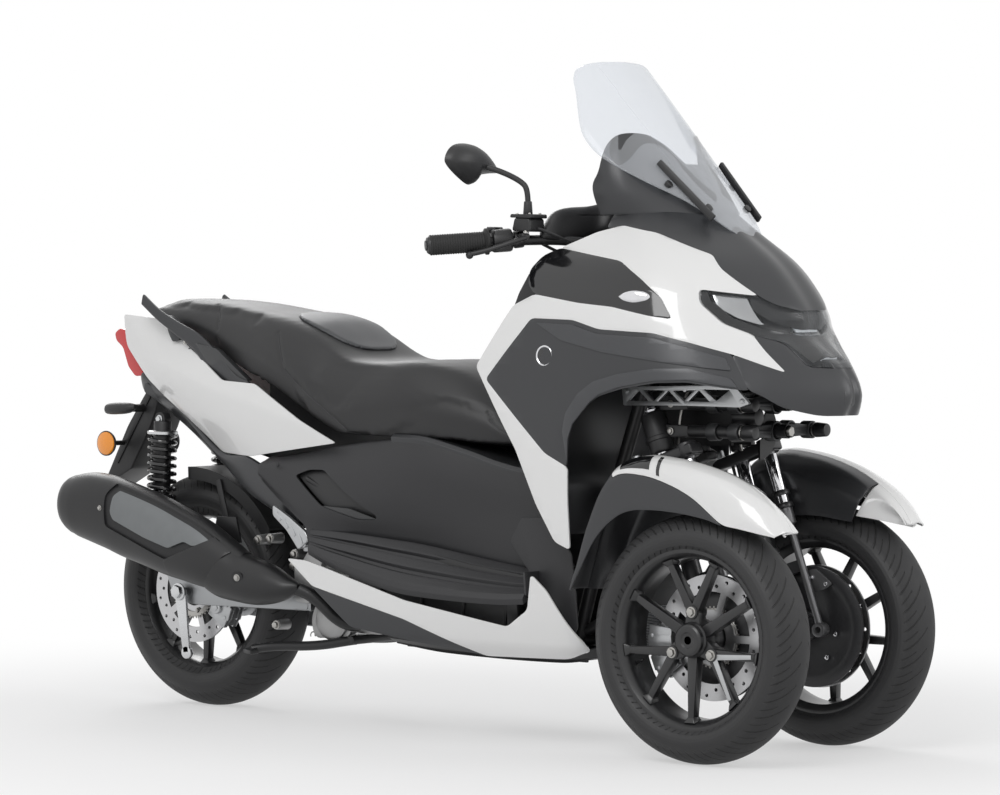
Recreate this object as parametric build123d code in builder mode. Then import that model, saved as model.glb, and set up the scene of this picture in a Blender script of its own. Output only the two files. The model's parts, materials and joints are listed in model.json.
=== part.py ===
from build123d import *
import os
from math import cos, degrees, radians, sin

# Leaning three-wheel scooter: two steered front wheels on tandem-tube forks that hang from a
# parallelogram of lean arms, one driven rear wheel on a swinging engine unit, and a step-through body.
# Millimetres. X points forward, Y to the rider's left, Z up, and the origin is on the ground.

os.makedirs("parts", exist_ok=True)

# --- chassis dimensions
front_axle_x = 865.0
rear_axle_x = -730.0
track = 470.0
panel_gap = 2.0  # shut line between neighbouring body panels
panel_wall = 4.0

# --- wheels
front_tyre_r = 262.0
front_tyre_half = 60.0
front_rim_r = 190.0
front_rim_half = 48.0
rear_tyre_r = 276.0
rear_tyre_half = 70.0
rear_rim_r = 192.0
rear_rim_half = 54.0
rim_seat_step = 12.0  # bead seat below the flange
rim_wall = 7.0
spoke_count = 9  # three V pairs that spring from the bolt lugs, and a single spoke between each
spoke_in = 12.0  # from the wheel's middle to the spokes' back
spoke_thick = 24.0
bolt_circle = 58.0
lug_r = 15.0
disc_thick = 5.0
front_disc_r = 133.0
front_disc_y = 40.0  # inboard of the wheel's middle
rear_disc_r = 122.0
rear_disc_y = 74.0
axle_r = 10.0
pin_clearance = 0.05
hub_bore = axle_r + pin_clearance

# --- steering
castor = 20.0
fork_y = 146.0  # kingpins, either side
kingpin_ground_x = 933.0
fork_front_s = 62.0  # tube places ahead of the kingpin, square to it
fork_rear_s = -11.0
slider_r = 19.0
stanchion_r = 14.0
kingpin_r = 16.0
slider_top = 290.0  # heights along the steering axis, from the axle's foot
bridge_low = 385.0
bridge_high = 412.0
head_high = 505.0
tie_s = -70.0  # tie rod behind the kingpins
tie_pin_r = 5.0
stem_r = 14.0
stem_top = 878.0

turn_x = -sin(radians(castor))
turn_z = cos(radians(castor))
foot_h = (kingpin_ground_x - front_axle_x) * -turn_x + front_tyre_r * turn_z
foot_x = kingpin_ground_x + foot_h * turn_x
foot_z = foot_h * turn_z


def steer_plane(y, h=0.0):
    """Plane square to the steering axis at height h, local x pointing forward."""
    origin = (foot_x + h * turn_x, y, foot_z + h * turn_z)
    return Plane(origin=origin, x_dir=(turn_z, 0, -turn_x), z_dir=(turn_x, 0, turn_z))


def rod(x, y, z, r, length, axis="Y"):
    """Round bar from a start point along a main axis."""
    plane = {
        "X": Plane(origin=(x, y, z), x_dir=(0, 1, 0), z_dir=(1, 0, 0)),
        "Y": Plane(origin=(x, y, z), x_dir=(1, 0, 0), z_dir=(0, 1, 0)),
        "Z": Plane(origin=(x, y, z), x_dir=(1, 0, 0), z_dir=(0, 0, 1)),
    }[axis]
    with BuildPart(mode=Mode.PRIVATE) as bar:
        with BuildSketch(plane):
            Circle(r)
        extrude(amount=length)
    return bar.part


def tube_run(points, radius, r):
    """Round bar along straight runs joined by arcs of one radius."""
    with BuildPart(mode=Mode.PRIVATE) as bar:
        with BuildLine() as path:
            FilletPolyline(*points, radius=radius)
        with BuildSketch(Plane(origin=path.line @ 0, z_dir=path.line % 0)):
            Circle(r)
        sweep(path=path.line)
    return bar.part


def side_slab(points, corner, y_from, y_to):
    """Side outline of (x, z) corners, extruded across Y."""
    with BuildPart(mode=Mode.PRIVATE) as slab:
        with BuildSketch(Plane.XZ.offset(-y_from)):
            with BuildLine():
                if corner > 0:
                    FilletPolyline(*points, radius=corner, close=True)
                else:
                    Polyline(*points, close=True)
            make_face()
        extrude(amount=-(y_to - y_from))
    return slab.part


def block(x, y, z, dx, dy, dz, edge=0.0):
    """Box by its low corner and size, with broken edges."""
    with BuildPart(mode=Mode.PRIVATE) as box:
        with Locations((x + dx / 2, y + dy / 2, z + dz / 2)):
            Box(dx, dy, dz)
        if edge > 0:
            chamfer(box.edges(), edge)
    return box.part


def plan_hull(rows, wall, corner, back_x):
    """Thin wall through plan sections: each row is z, then (x, half width) from the nose back."""
    shells = []
    for inset in (0.0, wall):
        with BuildPart(mode=Mode.PRIVATE) as skin:
            for index, row in enumerate(rows):
                z = row[0]
                if inset > 0 and index == 0:
                    z = z - 1
                if inset > 0 and index == len(rows) - 1:
                    z = z + 1
                side = [(row[1] - inset, row[2] - inset / 2)]
                for k in range(3, len(row), 2):
                    side.append((row[k] - inset / 2, row[k + 1] - inset))
                side.append((back_x, row[-1] - inset))
                ring = side + [(x, -y) for x, y in reversed(side)]
                with BuildSketch(Plane.XY.offset(z)):
                    with BuildLine():
                        FilletPolyline(*ring, radius=corner, close=True)
                    make_face()
            loft(ruled=True)
        shells.append(skin.part)
    return shells[0] - shells[1]


def section_loft(rows, corner):
    """Solid through cross sections: each row is x, then (y, z) corners of the closed outline."""
    with BuildPart(mode=Mode.PRIVATE) as body:
        for row in rows:
            points = [(row[k], row[k + 1]) for k in range(1, len(row), 2)]
            plane = Plane(origin=(row[0], 0, 0), x_dir=(0, 1, 0), z_dir=(1, 0, 0))
            with BuildSketch(plane):
                with BuildLine():
                    if corner > 0:
                        FilletPolyline(*points, radius=corner, close=True)
                    else:
                        Polyline(*points, close=True)
                make_face()
        loft(ruled=True)
    return body.part


def write(part, name):
    part.label = name
    export_step(part, "parts/" + name + ".step")


# --- wheels: one function for the three tyres, rims and discs
def make_tyre(x, y, r, half, rim_r, rim_half):
    seat_r = rim_r - rim_seat_step
    bulge_r = rim_r + 0.36 * (r - rim_r)
    inner_half = rim_half - rim_wall + 2
    with BuildPart(mode=Mode.PRIVATE) as tyre:
        with BuildSketch(Plane(origin=(x, y, r), x_dir=(0, 1, 0), z_dir=(1, 0, 0))):
            with BuildLine():
                Polyline((-inner_half, seat_r), (inner_half, seat_r), (inner_half + 1, rim_r))
                ThreePointArc((inner_half + 1, rim_r), (half - 4, rim_r + 9), (half, bulge_r))
                ThreePointArc((half, bulge_r), (0, r), (-half, bulge_r))
                ThreePointArc((-half, bulge_r), (-half + 4, rim_r + 9), (-inner_half - 1, rim_r))
                Line((-inner_half - 1, rim_r), (-inner_half, seat_r))
            make_face()
        revolve(axis=Axis((x, y, r), (0, 1, 0)))
    return tyre.part


def make_rim(x, y, z, rim_r, half, face, hub_in, hub_out, disc_at):
    """Barrel, hub, bolt lugs and spokes; face is +1 or -1 for the side that the spokes stand on."""
    seat_r = rim_r - rim_seat_step
    inner_half = half - rim_wall + 2
    lip = [(-half, rim_r), (-inner_half - 1, rim_r), (-inner_half, seat_r)]
    barrel = lip + [(-a, b) for a, b in reversed(lip)]
    barrel += [(half, rim_r - 8), (half - 8, seat_r - rim_wall)]
    barrel += [(-half + 8, seat_r - rim_wall), (-half, rim_r - 8)]
    wheel_axis = Axis((x, y, z), (0, 1, 0))
    with BuildPart(mode=Mode.PRIVATE) as rim:
        with BuildSketch(Plane(origin=(x, y, z), x_dir=(0, 1, 0), z_dir=(1, 0, 0))):
            Polygon(*barrel, align=None)
        revolve(axis=wheel_axis)
        seat = abs(disc_at) - disc_thick / 2
        if disc_at < 0:
            out = [(-hub_in, hub_bore), (hub_out, hub_bore), (hub_out, 26), (hub_out - 6, 32), (6, 42)]
            out += [(-6, 42), (-seat + 13, 36), (-seat + 8, 56), (-seat, 56), (-seat, 36), (-hub_in, 36)]
        else:
            out = [(-hub_in, hub_bore), (hub_out, hub_bore), (hub_out, 36), (seat, 36), (seat, 56)]
            out += [(seat - 8, 56), (seat - 13, 36), (6, 42), (-6, 42), (-hub_in, 34)]
        with BuildSketch(Plane(origin=(x, y, z), x_dir=(0, face, 0), z_dir=(face, 0, 0))):
            Polygon(*out, align=None)
        revolve(axis=wheel_axis)
        wheel_plane = Plane(origin=(x, y + face * spoke_in, z), x_dir=(1, 0, 0), z_dir=(0, -1, 0))
        step = 360 / spoke_count
        with BuildSketch(wheel_plane):
            for k in range(spoke_count):
                a_rim = radians(30 + step * k)
                a_root = a_rim + radians((0, step / 2, -step / 2)[k % 3])
                root = Vector(cos(a_root), sin(a_root)) * (30 if k % 3 == 0 else bolt_circle - 4)
                foot = Vector(cos(a_rim), sin(a_rim)) * (seat_r - rim_wall + 3)
                across = (foot - root).normalized().rotate(Axis.Z, 90)
                corners = [root + across * 11, foot + across * 8, foot - across * 8, root - across * 11]
                Polygon(*[(v.X, v.Y) for v in corners], align=None)
            for k in range(3):
                a_lug = radians(90 + 120 * k)
                with Locations((bolt_circle * cos(a_lug), bolt_circle * sin(a_lug))):
                    Circle(lug_r)
                with PolarLocations(bolt_circle / 2 + 8, 1, degrees(a_lug)):
                    Rectangle(bolt_circle - 16, 26)
            Circle(hub_bore + 4, mode=Mode.SUBTRACT)
        extrude(amount=spoke_thick * -face)
    return rim.part


def make_disc(x, y, z, r):
    """Drilled brake disc on a five-armed carrier."""
    with BuildPart(mode=Mode.PRIVATE) as disc:
        with BuildSketch(Plane(origin=(x, y - disc_thick / 2, z), x_dir=(1, 0, 0), z_dir=(0, 1, 0))):
            Circle(r)
            Circle(r - 36, mode=Mode.SUBTRACT)
            Circle(58)
            Circle(36, mode=Mode.SUBTRACT)
            with PolarLocations((r - 36 + 54) / 2, 5):
                Rectangle(r - 36 - 54 + 10, 16)
            for ring, turn in ((r - 11, 0), (r - 24, 12)):
                with PolarLocations(ring, 15, start_angle=turn):
                    Circle(4, mode=Mode.SUBTRACT)
        extrude(amount=disc_thick)
    return disc.part


# how far each hub reaches from the middle of its wheel, to its own side and to the other
front_hub_out, front_hub_in = 47.0, 44.0
rear_hub_out, rear_hub_in = 60.0, 78.0
for side, name in ((1, "left"), (-1, "right")):
    wheel_y = side * track / 2
    tyre = make_tyre(front_axle_x, wheel_y, front_tyre_r, front_tyre_half, front_rim_r, front_rim_half)
    write(tyre, "tyre_front_" + name)
    hub = (side, front_hub_out, front_hub_in, -front_disc_y)
    rim = make_rim(front_axle_x, wheel_y, front_tyre_r, front_rim_r, front_rim_half, *hub)
    write(rim, "rim_front_" + name)
    disc_y = wheel_y - side * front_disc_y
    write(make_disc(front_axle_x, disc_y, front_tyre_r, front_disc_r), "disc_front_" + name)
write(make_tyre(rear_axle_x, 0, rear_tyre_r, rear_tyre_half, rear_rim_r, rear_rim_half), "tyre_rear")
hub = (-1, rear_hub_out, rear_hub_in, rear_disc_y)
write(make_rim(rear_axle_x, 0, rear_tyre_r, rear_rim_r, rear_rim_half, *hub), "rim_rear")
write(make_disc(rear_axle_x, -rear_disc_y, rear_tyre_r, rear_disc_r), "disc_rear")


# --- front forks, calipers and mudguards, one set each side
def wheel_ring(y_from, y_to, r_from, r_to, a_from, a_to):
    """Part of a ring about the front axle between two angles, measured up from straight ahead."""
    low, high = min(y_from, y_to), max(y_from, y_to)
    plane = Plane(origin=(front_axle_x, low, front_tyre_r), x_dir=(1, 0, 0), z_dir=(0, -1, 0))
    with BuildPart(mode=Mode.PRIVATE) as ring:
        with BuildSketch(plane):
            with BuildLine():
                outer = CenterArc((0, 0), r_to, a_from, a_to - a_from)
                inner = CenterArc((0, 0), r_from, a_from, a_to - a_from)
                Line(outer @ 0, inner @ 0)
                Line(outer @ 1, inner @ 1)
            make_face()
        extrude(amount=-(high - low))
    return ring.part


guard_outer_y = 300.0
guard_ridge_y = 258.0
guard_split_y = 234.0
guard_inner_y = 168.0
guard_wall = 3.5
seam_row = 3
# angle from straight ahead, then distances past the tread: low edge, seam, ridge, inner wall's foot
guard_rows = [
    (163, 47, 53, 57, 38),
    (151, 41, 56, 64, 0),
    (136, 46, 83, 92, -6),
    (119, 39, 117, 139, -10),
    (108, 20, 96, 138, -15),
    (97, 6, 64, 117, -20),
    (86, -1, 36, 101, -21),
    (76, -2, 12, 91, -19),
    (68, -1, 3, 84, -12),
    (60, 10, 13, 77, 0),
    (52, 26, 29, 69, 20),
    (46, 42, 46, 60, 44),
]
nose_row = 8


def cap_line(low, seam, ridge, foot):
    rise = ridge - seam
    flank = [(guard_outer_y, seam), (guard_outer_y - 6, seam + 0.45 * rise)]
    flank += [(guard_outer_y - 22, seam + 0.86 * rise), (guard_ridge_y, ridge)]
    return flank + [(guard_split_y, ridge - 3)]


def nose_line(low, seam, ridge, foot):
    fall = ridge - seam
    inner = [(guard_split_y - 20, ridge - 3 - 0.2 * fall), (guard_inner_y + 30, seam + 0.45 * fall)]
    return cap_line(low, seam, ridge, foot) + inner + [(guard_inner_y + 22, seam)]


def inner_line(low, seam, ridge, foot):
    fall = min(1, (ridge - foot) / 40)
    shoulder = ridge - 12 * fall
    wall_top = max(ridge - 62, (ridge + foot) / 2)
    top = [(guard_split_y - 4, ridge - 4 * fall), (guard_inner_y + 35, shoulder)]
    wall = [(guard_inner_y + 12, (shoulder + wall_top) / 2), (guard_inner_y + 1, wall_top), (guard_inner_y, foot)]
    return top + wall


def strip_line(low, seam, ridge, foot):
    depth = seam - low
    top = seam - min(3, 0.1 * depth)
    return [(guard_outer_y, low), (guard_outer_y, low + 0.4 * depth), (guard_outer_y, top)]


def rear_line(low, seam, ridge, foot):
    row = (low, seam, ridge, foot)
    return strip_line(*row) + cap_line(*row)[1:-1] + inner_line(*row)


def guard_loft(side, rows, line):
    """Thin shell over the tyre: its section line, given a wall, at each row's angle about the axle."""
    with BuildPart(mode=Mode.PRIVATE) as shell:
        for angle, *heights in rows:
            up = (cos(radians(angle)), 0, sin(radians(angle)))
            points = [Vector(y * side, front_tyre_r + r) for y, r in line(*heights)]
            inside = []
            for k, here in enumerate(points):
                run = points[min(k + 1, len(points) - 1)] - points[max(k - 1, 0)]
                inside.append(here + Vector(run.Y, -run.X).normalized() * (guard_wall * -side))
            square = Vector(0, 1, 0).cross(Vector(*up))
            plane = Plane(origin=(front_axle_x, 0, front_tyre_r), x_dir=(0, 1, 0), z_dir=square)
            with BuildSketch(plane):
                with BuildLine():
                    Polyline(*[(v.X, v.Y) for v in points + inside[::-1]], close=True)
                make_face()
        loft(ruled=True)
    return shell.part


caliper_angle = (176.0, 214.0)
for side, name in ((1, "left"), (-1, "right")):
    y = side * fork_y
    wheel_y = side * track / 2
    disc_y = wheel_y - side * front_disc_y
    with BuildPart() as fork:
        with BuildSketch(steer_plane(y, -25)):
            with Locations((fork_front_s, 0), (fork_rear_s, 0)):
                Circle(slider_r)
        extrude(amount=slider_top + 25)
        with BuildSketch(steer_plane(y, slider_top)):
            with Locations((fork_front_s, 0), (fork_rear_s, 0)):
                Circle(stanchion_r)
        extrude(amount=bridge_low - slider_top)
        with BuildSketch(steer_plane(y, bridge_low)):
            with Locations(((fork_front_s + fork_rear_s) / 2, 0)):
                SlotCenterToCenter(fork_front_s - fork_rear_s, 44)
            with Locations((tie_s / 2, 0)):
                SlotCenterToCenter(-tie_s, 20)
        extrude(amount=bridge_high - bridge_low)
        with BuildSketch(steer_plane(y, bridge_high)):
            Circle(kingpin_r)
        extrude(amount=head_high - bridge_high + 6)
        with BuildSketch(steer_plane(y, bridge_high)):
            with Locations((tie_s, 0)):
                Circle(tie_pin_r)
        extrude(amount=20)
        with BuildSketch(steer_plane(y, -32)):
            with Locations(((fork_front_s + fork_rear_s) / 2, 0)):
                SlotCenterToCenter(fork_front_s - fork_rear_s, 46)
        extrude(amount=64)
        with BuildSketch(steer_plane(y, 120)):
            with Locations(((fork_front_s + fork_rear_s) / 2, 0)):
                Rectangle(fork_front_s - fork_rear_s, 16)
        extrude(amount=26)
        axle_from = side * fork_y
        add(rod(front_axle_x, min(axle_from, side * 283), front_tyre_r, axle_r, abs(side * 283 - axle_from)))
        bracket = [(fork_x, z) for fork_x, z in ((772, 250), (800, 300), (850, 290), (860, 240), (770, 200))]
        add(side_slab(bracket, 0, min(y + side * 8, y + side * 22), max(y + side * 8, y + side * 22)))
    write(fork.part, "fork_" + name)

    with BuildPart() as caliper:
        add(wheel_ring(disc_y - 18, disc_y + 18, 96, 156, *caliper_angle))
        slot = disc_thick / 2 + 1.5
        add(wheel_ring(disc_y - slot, disc_y + slot, 90, front_disc_r + 4, 170, 220), mode=Mode.SUBTRACT)
    write(caliper.part, "caliper_front_" + name)

    # the white cap over the outer half, the dark skirt inside, behind and below it
    with BuildPart() as cap:
        add(guard_loft(side, guard_rows[seam_row : nose_row + 1], cap_line))
        add(guard_loft(side, guard_rows[nose_row:], nose_line))
    write(cap.part, "mudguard_cap_" + name)

    with BuildPart() as skirt:
        add(guard_loft(side, guard_rows[: seam_row + 1], rear_line))
        add(guard_loft(side, guard_rows[seam_row : nose_row + 1], inner_line))
        add(guard_loft(side, guard_rows[seam_row:nose_row], strip_line))
    write(skirt.part, "mudguard_" + name)

# --- handlebar and everything that turns with it
bar_r = 11.0
clamp_r = 12.7
clamp_zone = 60.0  # thicker middle of the bar


def bar_end(side):
    return (250, side * 400, 1082)


def bar_knee(side):
    return (392, side * 222, 1098)


def sleeve(side, near, far, r):
    """Round sleeve on the bar between two shares of its straight outer run."""
    start = Vector(*bar_end(side))
    run = Vector(*bar_knee(side)) - start
    with BuildPart(mode=Mode.PRIVATE) as tube:
        with BuildSketch(Plane(origin=start + run * near, z_dir=run)):
            Circle(r)
            Circle(bar_r, mode=Mode.SUBTRACT)
        extrude(amount=run.length * (far - near))
    return tube.part


with BuildPart() as stem:
    with BuildSketch(steer_plane(0, bridge_high - 22)):
        Circle(stem_r)
    extrude(amount=stem_top - bridge_high + 22)
    with BuildSketch(steer_plane(0, bridge_high - 22)):
        with Locations((tie_s / 2, 0)):
            SlotCenterToCenter(-tie_s, 22)
    extrude(amount=22)
    with BuildSketch(steer_plane(0, bridge_high)):
        with Locations((tie_s, 0)):
            Circle(tie_pin_r)
    extrude(amount=20)
    bar = [bar_end(-1), bar_knee(-1), (480, -120, 1092), (520, -60, 1070)]
    bar += [(520, 60, 1070), (480, 120, 1092), bar_knee(1), bar_end(1)]
    add(tube_run(bar, 22, bar_r))
    add(rod(520, -clamp_zone / 2, 1070, clamp_r, clamp_zone))
    for y in (-40, 40):
        add(rod(500, y, 1076, 8, 44, "Z"))
write(stem.part, "handlebar")

with BuildPart() as tie:
    rod_plane = steer_plane(0, bridge_high + 4)
    with BuildSketch(rod_plane):
        with Locations((tie_s, 0)):
            Rectangle(12, 2 * fork_y)
        with Locations((tie_s, 0), (tie_s, fork_y), (tie_s, -fork_y)):
            Circle(12)
        with Locations((tie_s, 0), (tie_s, fork_y), (tie_s, -fork_y)):
            Circle(tie_pin_r + pin_clearance, mode=Mode.SUBTRACT)
    extrude(amount=14)
write(tie.part, "tie_rods")

with BuildPart() as grips:
    for side in (1, -1):
        add(sleeve(side, 0.04, 0.60, 17))
write(grips.part, "grips")

with BuildPart() as controls:
    for side in (1, -1):
        add(sleeve(side, 0.64, 0.94, 23))
        reservoir = [(372, 1112), (430, 1112), (430, 1150), (384, 1150)]
        low, high = sorted((side * 218, side * 262))
        add(side_slab(reservoir, 6, low, high))
        lever = [(395, side * 262, 1100), (392, side * 300, 1085)]
        lever += [(330, side * 350, 1066), (296, side * 384, 1062)]
        add(tube_run(lever, 12, 6))
write(controls.part, "hand_controls")

with BuildPart() as bar_cover:
    cover = [
        (360, -60, 1130, 60, 1130, 48, 1160, -48, 1160),
        (410, -96, 1120, 96, 1120, 80, 1182, -80, 1182),
        (470, -100, 1120, 100, 1120, 70, 1188, -70, 1188),
        (508, -70, 1120, 70, 1120, 50, 1176, -50, 1176),
    ]
    add(section_loft(cover, 8))
write(bar_cover.part, "bar_cover")

with BuildPart() as mirrors:
    for side in (1, -1):
        arm = [(408, side * 246, 1150), (408, side * 246, 1205)]
        arm += [(372, side * 290, 1246), (332, side * 330, 1252)]
        add(tube_run(arm, 16, 7))
        head = [
            (side * 282, 1240),
            (side * 300, 1272),
            (side * 352, 1296),
            (side * 400, 1286),
            (side * 404, 1256),
            (side * 352, 1214),
        ]
        with BuildSketch(Plane(origin=(300, 0, 0), x_dir=(0, 1, 0), z_dir=(1, 0, 0))):
            with BuildLine():
                FilletPolyline(*head, radius=10, close=True)
            make_face()
        extrude(amount=34)
write(mirrors.part, "mirrors")

# --- fixed structure: steering head, side heads, lean arms
arm_heights = (foot_z + 436.8, foot_z + 494.8)
with BuildPart() as heads:
    for side in (1, -1):
        y = side * fork_y
        with BuildSketch(steer_plane(y, bridge_high + 1)):
            Circle(27)
            Circle(kingpin_r + pin_clearance, mode=Mode.SUBTRACT)
        extrude(amount=head_high - bridge_high - 1)
        for z in arm_heights:
            add(rod(706, side * 132, z, 13, 219, "X"))
write(heads.part, "side_heads")

with BuildPart() as arms:
    for z in arm_heights:
        for x in (812, 868):
            with BuildSketch(Plane(origin=(x, 0, z), x_dir=(0, 1, 0), z_dir=(1, 0, 0))):
                SlotCenterToCenter(2 * 132, 34)
                with Locations((132, 0), (-132, 0)):
                    Circle(13, mode=Mode.SUBTRACT)
                Circle(15, mode=Mode.SUBTRACT)
            extrude(amount=22)
write(arms.part, "lean_arms")

with BuildPart() as carrier:
    for z in arm_heights:
        add(rod(780, 0, z, 15, 140, "X"))
    spine = [(606, 712), (648, 654), (800, 658), (800, 792), (700, 800)]
    spine += [(620, 880), (560, 1010), (530, 1000), (560, 860)]
    for y in (-40, 32):
        add(side_slab(spine, 0, y, y + 8))
    with BuildSketch(steer_plane(0, 470)):
        Circle(28)
        Circle(stem_r + 1, mode=Mode.SUBTRACT)
    extrude(amount=300)
    add(block(780, -40, 664, 20, 80, 106))
    add(block(570, -40, 870, 16, 13, 60))
    add(block(570, 27, 870, 16, 13, 60))
write(carrier.part, "head_frame")

# --- front body: one thin hull, parted into its panels along side outlines
# z, then x and half width at the nose, the flank and the side
cowl_rows = [
    (400, 900, 70, 800, 190, 620, 268),
    (560, 960, 70, 860, 200, 690, 280),
    (700, 1045, 50, 935, 195, 740, 288),
    (770, 1078, 34, 960, 180, 760, 289),
    (830, 1049, 36, 945, 170, 750, 288),
    (870, 1003, 46, 925, 170, 735, 286),
    (900, 974, 55, 908, 171, 727, 283),
    (930, 978, 57, 890, 172, 720, 280),
    (985, 944, 60, 850, 185, 690, 268),
    (1050, 885, 55, 790, 180, 640, 240),
    (1120, 790, 45, 690, 150, 590, 180),
    (1160, 740, 36, 660, 120, 560, 146),
]
cowl_hull = plan_hull(cowl_rows, panel_wall, 25, 200)
wide = 330.0  # half span of the cutting outlines

fairing_outline = [
    (483, 1078), (557, 1112), (614, 1126), (696, 1110), (820, 1063), (850, 1033), (922, 977),
    (831, 991), (840, 962), (882, 920), (933, 896), (958, 864), (1001, 817), (911, 856),
    (843, 879), (768, 899), (636, 906), (567, 925), (454, 928), (332, 796), (494, 641),
    (554, 613), (551, 542), (552, 436), (512, 452), (465, 530), (414, 645), (361, 730),
    (304, 823), (376, 923), (399, 955), (453, 979), (575, 961), (665, 953), (758, 934),
    (803, 928), (774, 972), (719, 1012), (656, 1050),
]
leg_outline = [
    (454, 928), (332, 796), (494, 641), (554, 613), (551, 676), (565, 704), (614, 748),
    (641, 765), (698, 781), (781, 795), (849, 797), (921, 784), (952, 780), (911, 856),
    (843, 879), (768, 899), (636, 906), (567, 925),
]
window_outline = [
    (483, 1078), (656, 1050), (719, 1012), (774, 972), (803, 928), (758, 934), (665, 953),
    (575, 961), (453, 979), (430, 1000), (425, 1031), (447, 1062),
]
nose_top_outline = [
    (575, 1170), (575, 1119), (614, 1126), (696, 1110), (820, 1063), (850, 1033), (922, 977),
    (950, 958), (985, 945), (1130, 943), (1130, 1170),
]
beak_outline = [
    (911, 856), (952, 780), (963, 776), (1005, 744), (1049, 727), (1130, 727), (1130, 838),
    (1026, 838), (974, 881), (933, 896), (958, 864), (1001, 817),
]
lamp_outline = [
    (831, 991), (922, 977), (950, 958), (985, 945), (1130, 943), (1130, 838), (1026, 838),
    (974, 881), (933, 896), (882, 920), (840, 962),
]


def drawn_in(points, distance):
    """Closed outline moved inwards: each corner goes along its bisector, mitred up to twice the distance."""
    count = len(points)
    area = sum(points[k - 1][0] * points[k][1] - points[k][0] * points[k - 1][1] for k in range(count))
    turn = 1 if area > 0 else -1
    moved = []
    for k in range(count):
        here = Vector(*points[k])
        before = (here - Vector(*points[k - 1])).normalized()
        after = (Vector(*points[(k + 1) % count]) - here).normalized()
        inward = Vector(-before.Y - after.Y, before.X + after.X).normalized() * turn
        mitre = max(0.5, inward.dot(Vector(-before.Y, before.X) * turn))
        place = here + inward * (distance / mitre)
        moved.append((place.X, place.Y))
    return moved


def panel(hull, outlines):
    """Pieces of a hull inside side outlines, each drawn in by half the shut line."""
    with BuildPart(mode=Mode.PRIVATE) as pieces:
        for points in outlines:
            add(hull & side_slab(drawn_in(points, panel_gap / 2), 0, -wide, wide))
    return pieces.part


write(panel(cowl_hull, [fairing_outline]), "side_fairings")
write(panel(cowl_hull, [leg_outline]), "leg_shields")
write(panel(cowl_hull, [window_outline]), "indicator_panels")
write(panel(cowl_hull, [nose_top_outline, beak_outline]), "nose_cowl")
write(panel(cowl_hull, [lamp_outline]), "headlamps")

# lamp bowls behind the lens
with BuildPart() as lamp_units:
    for side in (1, -1):
        low, high = sorted((side * 60, side * 130))
        bowl = [(800, 968), (862, 968), (905, 930), (905, 905), (880, 900), (800, 930)]
        add(side_slab(bowl, 8, low, high))
    stack = [(860, 930), (940, 930), (975, 890), (985, 850), (900, 850), (860, 890)]
    add(side_slab(stack, 6, -44, 44))
write(lamp_units.part, "lamp_units")

# --- windshield: part of a sloping cylinder, trimmed by its front outline
screen_low = (840.0, 1095.0)
screen_high = (481.0, 1485.0)
screen_r = 210.0
screen_wall = 3.5
screen_slope = Vector(screen_high[0] - screen_low[0], 0, screen_high[1] - screen_low[1])
with BuildPart() as windshield:
    start = -0.08
    base_x = screen_low[0] + start * screen_slope.X
    base_z = screen_low[1] + start * screen_slope.Z
    with BuildSketch(Plane(origin=(base_x - screen_r, 0, base_z), z_dir=(0, 0, 1), x_dir=(1, 0, 0))):
        Circle(screen_r)
        Circle(screen_r - screen_wall, mode=Mode.SUBTRACT)
        with Locations((screen_r, 0)):
            Rectangle(280, 420, mode=Mode.INTERSECT)
    extrude(amount=(screen_high[1] - base_z + 5) / screen_slope.Z * screen_slope.length, dir=screen_slope)
    half = [(0, 1088), (40, 1104), (101, 1173), (149, 1218), (182, 1265), (185, 1310), (176, 1354)]
    half += [(155, 1413), (142, 1456), (112, 1480), (0, 1485)]
    outline = half + [(-y, z) for y, z in reversed(half[1:-1])]
    with BuildSketch(Plane(origin=(300, 0, 0), x_dir=(0, 1, 0), z_dir=(1, 0, 0))):
        Polygon(*outline, align=None)
    extrude(amount=700, mode=Mode.INTERSECT)
write(windshield.part, "windshield")

# --- instrument shroud inside the windshield
shroud_rows = [
    (1160, 756, 36, 664, 126, 600, 160),
    (1200, 722, 44, 640, 138, 590, 176),
    (1270, 658, 50, 604, 140, 570, 168),
    (1312, 622, 46, 600, 108, 580, 138),
]
shroud_back_x = 545.0
write(plan_hull(shroud_rows, 3, 12, shroud_back_x), "screen_shroud")

# --- knee panel between the leg shields: a curved wall behind the steering head
knee_rows = [(460, 494, 244, 446), (560, 462, 262, 470), (640, 424, 268, 440), (730, 372, 272, 424)]
knee_rows += [(823, 318, 270, 410), (923, 386, 262, 420), (980, 432, 250, 450), (1040, 466, 228, 478)]
with BuildPart() as knee:
    for z, edge_x, edge_y, mid_x in knee_rows:
        with BuildSketch(Plane.XY.offset(z)):
            front = [(edge_x, edge_y), (mid_x - 10, edge_y * 0.72), (mid_x, edge_y * 0.4)]
            ring = front + [(x, -y) for x, y in reversed(front)]
            ring += [(x + panel_wall, -y) for x, y in front]
            ring += [(x + panel_wall, y) for x, y in reversed(front)]
            Polygon(*ring, align=None)
    loft(ruled=True)
write(knee.part, "inner_shield")

# --- body sides, footboards and the tunnel between them, by cross sections along X
hinge_x = 296.0  # seat hinge, at the front of the tunnel's top
hinge_z = 632.0
hinge_pin_r = 5.0
hinge_half = 20.0
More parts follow.
